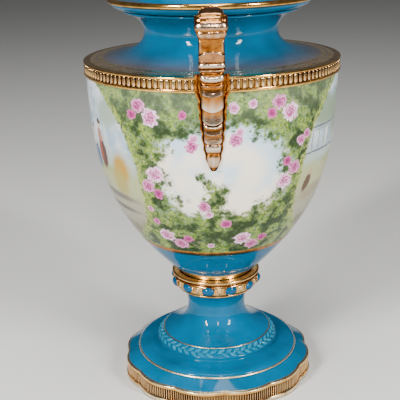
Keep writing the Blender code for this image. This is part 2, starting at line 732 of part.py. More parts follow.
def make_handle(name, side, cutter, collection, material):
    """One handle as a loft of sections on its middle line, cut clear of the vessel."""
    line = handle_line()
    lengths = [0.0]
    for before, after in zip(line, line[1:]):
        lengths.append(lengths[-1] + (after - before).length)
    rings = []
    for share, lift in handle_marks():
        reach = share * lengths[-1]
        index = max(i for i, length in enumerate(lengths[:-1]) if length <= reach)
        part = (reach - lengths[index]) / (lengths[index + 1] - lengths[index])
        place = line[index].lerp(line[index + 1], part)
        ahead = (line[min(index + 2, len(line) - 1)] - line[max(index - 1, 0)]).normalized()
        width, thickness = taper_at(share)
        ring = []
        for across, out in handle_section(width + lift, thickness + lift):
            spot = place + Vector((-ahead.y, ahead.x)) * (out + lift / 2)
            ring.append((across, side * spot.x, spot.y))
        rings.append(ring)
    handle = lofted(name, rings, collection, material)
    combine(handle, cutter, "DIFFERENCE")
    return handle


def main():
    clear_scene()
    pieces = make_collection(OBJECT_NAME)
    helpers = make_collection(f"{OBJECT_NAME}_cutters")
    glaze = make_material("turquoise_glaze", (0.0, 0.19, 0.30), 0.12, coat=0.5)
    painted = make_material("painted_porcelain", (0.60, 0.58, 0.48), 0.15, coat=0.5)
    gilding = make_material("burnished_gold", (0.66, 0.36, 0.11), 0.25, metallic=1.0)
    make_body(pieces, helpers, painted)
    make_pedestal(pieces, helpers, glaze)
    clearance = offset(body_outside(0.0), GAP)
    clearance = [(0.0, clearance[0][1])] + clearance + [(0.0, clearance[-1][1])]
    cutter = turned("handle_clearance", clearance, helpers)
    make_handle("handle_front", -1.0, cutter, pieces, gilding)
    make_handle("handle_back", 1.0, cutter, pieces, gilding)


main()
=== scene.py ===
"""A porcelain mantel urn, glazed, gilded and painted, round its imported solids.

Lengths are metres. The urn stands on the origin, +Z up, with its handles on the -Y and +Y
sides. A turned shape is an outline of (radius, height) points that runs down its outer side.
"""

import logging
import math
from dataclasses import dataclass, field
from enum import Enum
from functools import partial
from typing import Any, Callable, Iterable, Sequence

import bmesh
import bpy
import numpy as np
from mathutils import Matrix, Vector


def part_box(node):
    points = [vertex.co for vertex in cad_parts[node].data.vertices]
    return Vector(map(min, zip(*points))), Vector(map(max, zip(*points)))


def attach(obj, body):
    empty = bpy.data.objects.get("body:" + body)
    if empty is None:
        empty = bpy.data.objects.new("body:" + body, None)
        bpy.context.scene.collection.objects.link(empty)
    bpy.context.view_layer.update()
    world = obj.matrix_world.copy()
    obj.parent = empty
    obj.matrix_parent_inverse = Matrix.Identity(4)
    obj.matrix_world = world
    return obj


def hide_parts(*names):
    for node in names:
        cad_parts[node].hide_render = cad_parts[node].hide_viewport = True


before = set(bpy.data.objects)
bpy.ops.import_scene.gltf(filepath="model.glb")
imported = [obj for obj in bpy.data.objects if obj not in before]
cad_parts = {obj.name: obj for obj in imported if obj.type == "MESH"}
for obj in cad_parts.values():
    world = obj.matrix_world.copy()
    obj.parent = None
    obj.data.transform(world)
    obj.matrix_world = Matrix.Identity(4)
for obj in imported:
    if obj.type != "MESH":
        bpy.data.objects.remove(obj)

LOG = logging.getLogger("mantel_urn")
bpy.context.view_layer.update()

Point = tuple[float, float]
Spot = tuple[float, float, float]
Finishes = dict["Skin", bpy.types.Material]

FRONT = -math.pi / 2
MM = 0.001
LOFT_SHARP_TURN = math.radians(42)
# The strongest painted highlight at a crest's top; the wreath leaves also use it to thin their sides.
CREST_SHARE = 0.35

MATH = "ShaderNodeMath"
VECTOR_MATH = "ShaderNodeVectorMath"
MIX = "ShaderNodeMix"
RANGE = "ShaderNodeMapRange"
NOISE = "ShaderNodeTexNoise"
ATTRIBUTE = "ShaderNodeAttribute"
COORDINATES = "ShaderNodeTexCoord"
COLOURS: dict[str, Any] = {"data_type": "RGBA", "out": 2}
SMOOTH: dict[str, Any] = {"interpolation_type": "SMOOTHSTEP"}


class Skin(Enum):
    """What a stretch of a turned outline is finished in."""

    TURQUOISE = "turquoise glaze"
    # Turquoise glaze with a painted bronze reflection towards the shoulder's edge.
    GLAZE_PAINTED_REFLECTION = "turquoise glaze with a bronze lustre"
    LEAVES = "thin turquoise glaze over moulded leaves"
    JEWEL = "turquoise glaze of the cabochons"
    PAINTING = "enamel painting"
    GOLD = "burnished gold"
    SATIN_GOLD = "satin gold"
    # Burnished gold with worn patches, darker than the band's gold as a painted dark reflection.
    GOLD_PAINTED_DARK = "antique gold"
    PALE_GOLD = "pale gold line"
    WHITE = "white glaze"
    BISQUE = "unglazed porcelain"


def linear(hex_colour: str) -> tuple[float, float, float, float]:
    """Turns an sRGB hex colour into the linear colour that a shader takes.

    Args:
        hex_colour: Six hex digits, with or without a leading mark.

    Returns:
        Linear red, green, blue and an alpha of 1.
    """
    digits = hex_colour.lstrip("#")
    shares = [int(digits[place : place + 2], 16) / 255 for place in (0, 2, 4)]
    bent = [s / 12.92 if s <= 0.04045 else ((s + 0.055) / 1.055) ** 2.4 for s in shares]
    return (bent[0], bent[1], bent[2], 1.0)


def add_node(tree: Any, kind: str, *given: Any, out: int | str | None = 0, **settings: Any) -> Any:
    """Adds a node, sets its properties and fills or joins its inputs.

    Args:
        tree: The node tree that gets the node.
        kind: The node's type name.
        *given: A value or a socket for each of the first inputs, or one dictionary of them.
        out: Name or place of the output that is wanted, or None for all of them.
        **settings: Properties of the node itself.

    Returns:
        The output's socket, or all the node's outputs.
    """
    node = tree.nodes.new(kind)
    for name, value in settings.items():
        setattr(node, name, value)
    inputs = given[0] if given and isinstance(given[0], dict) else dict(enumerate(given))
    for place, source in inputs.items():
        if isinstance(source, bpy.types.NodeSocket):
            tree.links.new(source, node.inputs[place])
        else:
            node.inputs[place].default_value = source
    return node.outputs if out is None else node.outputs[out]


def new_object(name: str, mesh: bpy.types.Mesh) -> bpy.types.Object:
    """Links a mesh to the scene as an object at the origin.

    Args:
        name: The object's name.
        mesh: Its mesh.

    Returns:
        The object.
    """
    made = bpy.data.objects.new(name, mesh)
    bpy.context.scene.collection.objects.link(made)
    return made


def new_material(name: str, constants: dict[str, float]) -> tuple[bpy.types.Material, Any, Any]:
    """Makes a node material.

    Args:
        name: The material's name.
        constants: The shader's inputs that stay the same all over.

    Returns:
        The material, its node tree and its shader.
    """
    material = bpy.data.materials.new(name)
    material.use_nodes = True
    shader = material.node_tree.nodes["Principled BSDF"]
    for place, value in constants.items():
        shader.inputs[place].default_value = value
    return material, material.node_tree, shader


def bezier(start: Point, pull_start: Point, pull_end: Point, end: Point, steps: int) -> list[Point]:
    """Points of a cubic curve after its start.

    Args:
        start: Where the curve starts.
        pull_start: The corner that draws it out of its start.
        pull_end: The corner that draws it into its end.
        end: Where it ends.
        steps: How many points.

    Returns:
        The points, up to and with the end.
    """
    points = []
    for step in range(1, steps + 1):
        t = step / steps
        s = 1.0 - t
        weights = (s**3, 3 * s * s * t, 3 * s * t * t, t**3)
        corners = (start, pull_start, pull_end, end)
        radius, height = (sum(w * c[axis] for w, c in zip(weights, corners)) for axis in (0, 1))
        points.append((radius, height))
    return points


@dataclass
class Outline:
    """A turned outline that is drawn stretch by stretch, each with its finish."""

    start: Point
    points: list[Point] = field(init=False)
    skins: list[Skin] = field(default_factory=list)

    def __post_init__(self) -> None:
        """Puts the start down as the first point."""
        self.points = [self.start]

    def add(self, points: Iterable[Point], skin: Skin) -> "Outline":
        """Adds points, with one finish for the stretches that lead to them.

        Args:
            points: The points.
            skin: Their finish.

        Returns:
            The outline itself.
        """
        for point in points:
            self.points.append(point)
            self.skins.append(skin)
        return self

    def line(self, radius: float, height: float, skin: Skin, steps: int = 1) -> "Outline":
        """Draws straight to a radius and height.

        Args:
            radius: Radius of the end.
            height: Height of the end.
            skin: Its finish.
            steps: How many equal steps.

        Returns:
            The outline itself.
        """
        shares = np.arange(1, steps + 1) / steps
        return self.add(self.towards(radius, height, shares, shares), skin)

    def towards(self, radius: float, height: float, out: np.ndarray, up: np.ndarray) -> list[Point]:
        """Points between the outline's last point and an end.

        Args:
            radius: Radius of the end.
            height: Height of the end.
            out: Each point's share of the way in radius.
            up: Each point's share of the way in height.

        Returns:
            The points.
        """
        start_r, start_z = self.points[-1]
        wide, tall = radius - start_r, height - start_z
        return [(start_r + wide * a, start_z + tall * b) for a, b in zip(out, up)]

    def curve(self, pull_start: Point, pull_end: Point, end: Point, skin: Skin, steps: int) -> "Outline":
        """Draws a cubic curve to its end."""
        return self.add(bezier(self.points[-1], pull_start, pull_end, end, steps), skin)

    def bead(self, radius: float, height: float, out: float, skin: Skin, steps: int = 8) -> "Outline":
        """Draws a half-round moulding that stands out from the line to its end.

        Args:
            radius: Radius of the end.
            height: Height of the end.
            out: How far the moulding stands out, or in where negative.
            skin: Its finish.
            steps: How many points.

        Returns:
            The outline itself.
        """
        angles = math.pi * np.arange(1, steps + 1) / steps
        shares = (1.0 - np.cos(angles)) / 2
        line = self.towards(radius, height, shares, shares)
        return self.add([(r + out * math.sin(angle), z) for (r, z), angle in zip(line, angles)], skin)

    def quarter(
        self, radius: float, height: float, skin: Skin, upright_first: bool, steps: int = 8
    ) -> "Outline":
        """Draws a quarter of an ellipse to its end.

        Args:
            radius: Radius of the end.
            height: Height of the end.
            skin: Its finish.
            upright_first: Whether it leaves its start upright, and not level.
            steps: How many points.

        Returns:
            The outline itself.
        """
        angles = math.pi / 2 * np.arange(1, steps + 1) / steps
        far, near = np.sin(angles), 1.0 - np.cos(angles)
        out, up = (near, far) if upright_first else (far, near)
        return self.add(self.towards(radius, height, out, up), skin)


def offset(points: Sequence[Point], distance: float) -> list[Point]:
    """Moves an outline along its normals.

    Args:
        points: The outline.
        distance: How far, away from the axis where positive.

    Returns:
        The moved points.
    """
    moved = []
    for index, (radius, height) in enumerate(points):
        before = points[max(index - 1, 0)]
        after = points[min(index + 1, len(points) - 1)]
        along = Vector((after[0] - before[0], after[1] - before[1])).normalized()
        moved.append((radius - along.y * distance, height + along.x * distance))
    return moved


@dataclass
class Lathe:
    """Turns outlines about +Z into closed meshes."""

    segments: int
    start: float = 0.0
    push: Callable[[float, np.ndarray], np.ndarray] | None = None
    sharp_turn: float = math.radians(38)

    def angles(self) -> np.ndarray:
        """The angle of each upright row of vertices."""
        return self.start + 2 * math.pi * np.arange(self.segments) / self.segments

    def turn(self, name: str, outline: Outline, finishes: Finishes) -> bpy.types.Object:
        """Turns an outline once round.

        Args:
            name: The piece's name.
            outline: The outline, which runs down the outer side.
            finishes: The material of each finish.

        Returns:
            The piece, with one material slot for each finish it uses.
        """
        angles = self.angles()
        spots: list[np.ndarray] = []
        rings: list[np.ndarray] = []
        count = 0
        for radius, height in outline.points:
            around = angles if radius > 0.0 else angles[:1]
            radii = np.full(len(around), radius)
            if self.push is not None and radius > 0.0:
                radii = radii + self.push(radius, around)
            level = np.full(len(around), height)
            spots.append(np.column_stack((radii * np.cos(around), radii * np.sin(around), level)))
            rings.append(np.arange(count, count + len(around)))
            count += len(around)
        used = [skin for skin in Skin if skin in outline.skins]
        faces: list[tuple[int, ...]] = []
        slots: list[int] = []
        for upper, lower, skin in zip(rings, rings[1:], outline.skins):
            made = self.strip(upper, lower)
            faces += made
            slots += [used.index(skin)] * len(made)
        mesh = bpy.data.meshes.new(name)
        mesh.from_pydata(np.vstack(spots).tolist(), [], faces)
        mesh.polygons.foreach_set("material_index", slots)
        for skin in used:
            mesh.materials.append(finishes[skin])
        mesh.shade_smooth()
        mesh.set_sharp_from_angle(angle=self.sharp_turn)
        return new_object(name, mesh)

    def strip(self, upper: np.ndarray, lower: np.ndarray) -> list[tuple[int, ...]]:
        """The faces between two rings, either of which may be one point on the axis.

        Args:
            upper: The vertices of the upper ring.
            lower: The vertices of the lower ring.

        Returns:
            The faces.
        """
        beside = (np.arange(self.segments) + 1) % self.segments
        if len(upper) == 1:
            return [(int(upper[0]), int(a), int(b)) for a, b in zip(lower, lower[beside])]
        if len(lower) == 1:
            return [(int(a), int(lower[0]), int(b)) for a, b in zip(upper, upper[beside])]
        columns = np.column_stack((upper, lower, lower[beside], upper[beside]))
        return [tuple(row) for row in columns.tolist()]


@dataclass
class CopyRing:
    """Copies of one item round the axis, made by Geometry Nodes.

    The item points out along +X and up along +Z. On a lobed edge the copies follow the lobes,
    and a stretch to each side of a handle can be left free.
    """

    count: int
    radius: float
    height: float
    start: float = 0.0
    lobes: int = 0
    lobe_depth: float = 0.0
    lobe_start: float = 0.0
    free_turn: float = 0.0
    sharp_turn: float = math.radians(40)
    tree: Any = field(init=False)
    sockets: dict[str, str] = field(init=False, default_factory=dict)

    def __post_init__(self) -> None:
        """Builds the node tree with its named inputs."""
        self.tree = bpy.data.node_groups.new("ring_of_copies", "GeometryNodeTree")
        kinds = {"Item": "Object", "Finish": "Material", "Count": "Int"}
        for name, kind in (kinds | dict.fromkeys(self.sizes(), "Float")).items():
            made = self.tree.interface.new_socket(name=name, in_out="INPUT", socket_type=f"NodeSocket{kind}")
            self.sockets[name] = made.identifier
        self.tree.interface.new_socket(name="Geometry", in_out="OUTPUT", socket_type="NodeSocketGeometry")
        self.lay_nodes()

    def sizes(self) -> dict[str, float]:
        """The sizes that the tree takes.

        Returns:
            Each size by the name of its input.
        """
        return {
            "Radius": self.radius,
            "Height": self.height,
            "Start": self.start,
            "Lobes": float(self.lobes),
            "Lobe Depth": self.lobe_depth,
            "Lobe Start": self.lobe_start,
            "Free Turn": self.free_turn,
        }

    def lay_nodes(self) -> None:
        """Lays the nodes that place, keep or drop, realise and finish the copies."""
        add = partial(add_node, self.tree)
        given = add("NodeGroupInput", out=None)
        step = add(MATH, 2 * math.pi, given["Count"], operation="DIVIDE")
        angle = add(MATH, add("GeometryNodeInputIndex"), step, given["Start"], operation="MULTIPLY_ADD")
        sine, cosine = (add(MATH, angle, operation=operation) for operation in ("SINE", "COSINE"))
        half_lobes = add(MATH, given["Lobes"], 0.5, operation="MULTIPLY")
        past = add(MATH, angle, given["Lobe Start"], operation="SUBTRACT")
        wave = add(MATH, add(MATH, past, half_lobes, operation="MULTIPLY"), operation="SINE")
        short = add(MATH, 1.0, add(MATH, wave, operation="ABSOLUTE"), operation="SUBTRACT")
        dip = add(MATH, short, given["Lobe Depth"], operation="MULTIPLY")
        reach = add(MATH, given["Radius"], dip, operation="SUBTRACT")
        across, along = (add(MATH, reach, share, operation="MULTIPLY") for share in (cosine, sine))
        place = add("ShaderNodeCombineXYZ", across, along, given["Height"])
        away = add(MATH, add(MATH, sine, operation="ABSOLUTE"), operation="ARCCOSINE")
        kept = add("FunctionNodeCompare", away, given["Free Turn"], operation="GREATER_THAN")
        points = add("GeometryNodePoints", {"Count": given["Count"]})
        placed = add("GeometryNodeSetPosition", {"Geometry": points, "Position": place})
        wanted = {
            "Points": placed,
            "Selection": kept,
            "Instance": add("GeometryNodeObjectInfo", {"Object": given["Item"]}, out="Geometry"),
            "Rotation": add("ShaderNodeCombineXYZ", 0.0, 0.0, angle),
        }
        solid = add("GeometryNodeRealizeInstances", add("GeometryNodeInstanceOnPoints", wanted))
        finished = add("GeometryNodeSetMaterial", {"Geometry": solid, "Material": given["Finish"]})
        add("NodeGroupOutput", finished, out=None)

    def build(self, name: str, item: bpy.types.Mesh, finish: bpy.types.Material) -> bpy.types.Object:
        """Makes the copies into one plain mesh.

        Args:
            name: The piece's name.
            item: The mesh that is copied.
            finish: Its material.

        Returns:
            The piece, with no modifier left on it.
        """
        pattern = new_object(f"{name}_item", item)
        carrier = new_object(f"{name}_carrier", bpy.data.meshes.new(f"{name}_carrier"))
        modifier = carrier.modifiers.new("copies", "NODES")
        modifier.node_group = self.tree
        values = {"Item": pattern, "Finish": finish, "Count": self.count} | self.sizes()
        for label, value in values.items():
            modifier[self.sockets[label]] = value
        graph = bpy.context.evaluated_depsgraph_get()
        mesh = bpy.data.meshes.new_from_object(carrier.evaluated_get(graph))
        carrier.modifiers.remove(modifier)
        for spent in (pattern, carrier):
            bpy.data.objects.remove(spent, do_unlink=True)
        mesh.name = name
        mesh.shade_smooth()
        mesh.set_sharp_from_angle(angle=self.sharp_turn)
        return new_object(name, mesh)


def face_outwards(mesh: bpy.types.Mesh) -> None:
    """Turns every face of a mesh of closed shells to point out.

    Args:
        mesh: The mesh, which is changed.
    """
    shape = bmesh.new()
    shape.from_mesh(mesh)
    bmesh.ops.recalc_face_normals(shape, faces=shape.faces)
    shape.to_mesh(mesh)
    shape.free()


def loft(name: str, rings: Sequence[Sequence[Spot]]) -> bpy.types.Mesh:
    """Skins rings of equally many points and closes both ends.

    Args:
        name: The mesh's name.
        rings: The rings in order.

    Returns:
        The closed mesh, smooth but for its sharp edges.
    """
    across = len(rings[0])
    spots = [spot for ring in rings for spot in ring]
    faces: list[tuple[int, ...]] = []
    for row in range(len(rings) - 1):
        for column in range(across):
            beside = (column + 1) % across
            low, high = row * across, (row + 1) * across
            faces.append((low + column, high + column, high + beside, low + beside))
    faces.append(tuple(range(across)))
    faces.append(tuple(reversed(range(len(spots) - across, len(spots)))))
    mesh = bpy.data.meshes.new(name)
    mesh.from_pydata(spots, [], faces)
    face_outwards(mesh)
    mesh.shade_smooth()
    mesh.set_sharp_from_angle(angle=LOFT_SHARP_TURN)
    return mesh


def dome(
    name: str, width: float, height: float, relief: float, rings: int, sides: int, square: float = 1.0
) -> bpy.types.Mesh:
    """An oval pebble, flat at the back, that stands out along +X.

    Args:
        name: The mesh's name.
        width: Its width, along Y.
        height: Its height, along Z.
        relief: How far it stands out.
        rings: Rings of faces from the edge to the top.
        sides: Points round the edge.
        square: 1 for an oval, less for a rounded oblong.

    Returns:
        The closed mesh.
    """
    rows = []
    for ring in range(rings + 1):
        turn = math.pi / 2 * ring / (rings + 0.5)
        share, out = math.cos(turn) ** square, relief * math.sin(turn)
        tall = height / 2 - width / 2 * (1.0 - share) if square < 1.0 else height / 2 * share
        spots = []
        for side in range(sides):
            angle = 2 * math.pi * (side + 0.5) / sides
            c, s = math.cos(angle), math.sin(angle)
            wide = math.copysign(abs(c) ** square, c) * width / 2 * share
            spots.append((out, wide, math.copysign(abs(s) ** square, s) * tall))
        rows.append(spots)
    mesh = loft(name, rows)
    # The pebble's top gets a painted highlight that the gilding reads.
    painted_highlights = [CREST_SHARE * (index // sides / rings) ** 2 for index in range(len(mesh.vertices))]
    mesh.attributes.new("crest", "FLOAT", "POINT").data.foreach_set("value", painted_highlights)
    return mesh


def hoop(
    name: str, width: float, height: float, thickness: float, sides: int, round_sides: int
) -> bpy.types.Mesh:
    """An oval wire ring that lies in the YZ plane, such as a bezel.

    Args:
        name: The mesh's name.
        width: Its width to the middle of the wire, along Y.
        height: Its height to the middle of the wire, along Z.
        thickness: The wire's thickness.
        sides: Points along the ring.
        round_sides: Points round the wire.

    Returns:
        The closed mesh.
    """
    spots: list[Spot] = []
    faces: list[tuple[int, ...]] = []
    for side in range(sides):
        angle = 2 * math.pi * side / sides
        for corner in range(round_sides):
            turn = 2 * math.pi * corner / round_sides
            out, wide = thickness / 2 * math.sin(turn), thickness / 2 * math.cos(turn)
            spots.append((out, (width / 2 + wide) * math.cos(angle), (height / 2 + wide) * math.sin(angle)))
            here, ahead = side * round_sides, (side + 1) % sides * round_sides
            beside = (corner + 1) % round_sides
            faces.append((here + corner, ahead + corner, ahead + beside, here + beside))
    mesh = bpy.data.meshes.new(name)
    mesh.from_pydata(spots, [], faces)
    face_outwards(mesh)
    return mesh


def radius_at(points: Sequence[Point], height: float) -> float:
    """The outermost radius of an outline at one height.

    Args:
        points: The outline.
        height: The height.

    Returns:
        The radius, or 0 where the outline isn't that high or low.
    """
    found = 0.0
    for (r0, z0), (r1, z1) in zip(points, points[1:]):
        if min(z0, z1) <= height <= max(z0, z1) and z0 != z1:
            found = max(found, r0 + (r1 - r0) * (height - z0) / (z1 - z0))
    return found


@dataclass(frozen=True)
class TurquoiseGlaze:
    """Turquoise glaze fired over porcelain: deep, wet-looking and a little uneven.

    Clear glass over a blue-green ground gives sharp window lights on a saturated body, with
    the ground a shade darker at random where the glaze has pooled, darker still in hollows
    from pooled glaze and painted shade together, and, where asked for, a painted bronze
    reflection that grows towards the shoulder's edge.
    """

    name: str = "turquoise_glaze"
    ground: str = "006088"
    pooled: str = "004E6B"
    # The colour of the hollows, where pooled glaze and painted shade darken the ground together.
    deep: str = "002C3E"
    specular: float = 0.24
    # The colour of a painted bronze reflection, and below the distances from the axis over which it grows.
    painted_reflection: str = "54443A"
    cloud: float = 30 * MM
    ripple: float = 5 * MM
    shade_reach: float = 1.6 * MM
    painted_reflection_from: float = 1.0
    painted_reflection_to: float = 2.0

    def build(self) -> bpy.types.Material:
        """Makes the material.

        Returns:
            The material.
        """
        constants = {"Roughness": 0.05, "IOR": 1.45, "Specular IOR Level": self.specular}
        material, tree, shader = new_material(self.name, constants)
        add = partial(add_node, tree)
        where = add(COORDINATES, out="Object")
        cloud = add(NOISE, {"Vector": where, "Scale": 1 / self.cloud, "Detail": 5.0})
        tone = add(RANGE, cloud, 0.35, 0.75)
        colour = add(MIX, {0: tone, 6: linear(self.ground), 7: linear(self.pooled)}, **COLOURS)
        # Darker in the hollows: pooled glaze, with painted shade from ambient occlusion.
        shade_ao = add("ShaderNodeAmbientOcclusion", {"Distance": self.shade_reach}, out="AO", samples=4)
        crest = add(RANGE, shade_ao, 0.35, 0.95)
        colour = add(MIX, {0: crest, 6: linear(self.deep), 7: colour}, **COLOURS)
        # A painted bronze reflection that grows with the distance from the axis.
        flat = add(VECTOR_MATH, where, (1.0, 1.0, 0.0), operation="MULTIPLY")
        reach = add(VECTOR_MATH, flat, out="Value", operation="LENGTH")
        painted_reflection_share = add(RANGE, reach, self.painted_reflection_from, self.painted_reflection_to, **SMOOTH)
        colour = add(MIX, {0: painted_reflection_share, 6: colour, 7: linear(self.painted_reflection)}, **COLOURS)
        ripple = add(NOISE, {"Vector": where, "Scale": 1 / self.ripple, "Detail": 2.0})
        bump = add("ShaderNodeBump", {"Height": ripple, "Strength": 0.03, "Distance": MM})
        tree.links.new(colour, shader.inputs["Base Color"])
        tree.links.new(bump, shader.inputs["Normal"])
        return material


@dataclass(frozen=True)
class BurnishedGold:
    """Gilding burnished with agate over glaze: bright, with painted highlights on crests and painted shade
    in the hollows.

    The leaf is thin, so the warm ground shows through in patches and the polish is uneven.
    The brown of the hollows is painted shade, deeper where the surface shuts itself in, and
    the crests of the handles, ribs, reeds and bosses carry a painted silvery-white highlight.
    The stone's strokes are finer than they are drawn here, so that they show.
    """

    name: str = "burnished_gold"
    bright: str = "F6C068"
    worn: str = "C27F38"
    # The colour of the painted shade in the hollows.
    hollow: str = "54260B"
    # The colour of the painted silvery-white highlight on crests.
    crest: str = "FBEBD2"
    patch: float = 7 * MM
    stroke: float = 1.6 * MM
    roughness: float = 0.14
    shade_reach: float = 2.4 * MM
    dint: float = 0.1

    def build(self) -> bpy.types.Material:
        """Makes the material.

        Returns:
            The material.
        """
        material, tree, shader = new_material(self.name, {"Metallic": 1.0})
        add = partial(add_node, tree)
        where = add(COORDINATES, out="Object")
        patch = add(NOISE, {"Vector": where, "Scale": 1 / self.patch, "Detail": 6.0})
        tone = add(RANGE, patch, 0.45, 0.75)
        leaf = add(MIX, {0: tone, 6: linear(self.bright), 7: linear(self.worn)}, **COLOURS)
        # Painted highlight: crests whitened as the crest attribute asks.
        raised = add(ATTRIBUTE, out="Fac", attribute_name="crest")
        leaf = add(MIX, {0: raised, 6: leaf, 7: linear(self.crest)}, **COLOURS)
        # Painted shade: brown where nearby gilding shuts the surface in.
        shade_ao = add("ShaderNodeAmbientOcclusion", {"Distance": self.shade_reach}, out="AO", samples=6)
        crest = add(RANGE, shade_ao, 0.38, 0.92)
        leaf = add(MIX, {0: crest, 6: linear(self.hollow), 7: leaf}, **COLOURS)
        stroke = add(NOISE, {"Vector": where, "Scale": 1 / self.stroke, "Detail": 3.0})
        polish = add(RANGE, stroke, 0.0, 1.0, self.roughness * 0.7, self.roughness * 1.5)
        bump = add("ShaderNodeBump", {"Height": stroke, "Strength": self.dint, "Distance": 0.3 * MM})
        tree.links.new(leaf, shader.inputs["Base Color"])
        tree.links.new(polish, shader.inputs["Roughness"])
        tree.links.new(bump, shader.inputs["Normal"])
        return material


@dataclass(frozen=True)
class ClearGlaze:
    """Clear glaze over white porcelain: cream-white, glossy, faintly clouded."""

    name: str = "white_glaze"
    body: str = "EFEBDD"
    shade: str = "D9D6C6"
    roughness: float = 0.12
    coat: float = 0.6
    cloud: float = 16.67 * MM

    def build(self) -> bpy.types.Material:
        """Makes the material.

        Returns:
            The material.
        """
        constants = {"Roughness": self.roughness, "Coat Weight": self.coat}
        material, tree, shader = new_material(self.name, constants)
        add = partial(add_node, tree)
        where = add(COORDINATES, out="Object")
        cloud = add(NOISE, {"Vector": where, "Scale": 1 / self.cloud, "Detail": 4.0})
        mixed = add(MIX, {0: cloud, 6: linear(self.body), 7: linear(self.shade)}, **COLOURS)
        tree.links.new(mixed, shader.inputs["Base Color"])
        return material


@dataclass(frozen=True)
class Bloom:
    """One painted rose: its turn from a handle in degrees, and its drop below the band."""

    turn: float
    drop: float
    radius: float
    tint: float


@dataclass(frozen=True)
class Spray:
    """Three painted roses: a pink one, a pale open one beside it and a deep bud."""

    turn: float
    drop: float
    lean: float

    def blooms(self, girth: float) -> list[Bloom]:
        """The three roses.

        Args:
            girth: The bowl's radius at the spray.

        Returns:
            The roses, the pink one first.
        """
        made = [Bloom(self.turn, self.drop, 5.9 * MM, 0.40)]
        others = ((13.2 * MM, 0.0, 7.0 * MM, 1.0), (10.2 * MM, 90.0, 4.3 * MM, 0.05))
        for reach, beside, radius, tint in others:
            way = math.radians(self.lean + beside)
            turn = self.turn + math.degrees(reach * math.cos(way) / girth)
            made.append(Bloom(turn, self.drop + reach * math.sin(way), radius, tint))
        return made


@dataclass(frozen=True)
class Dab:
    """One stroke of a side picture: an oval, its tilt and its colour, in millimetres."""

    across: float
    drop: float
    wide: float
    tall: float
    colour: str
    tilt: float = 0.0
    soft: float = 0.12


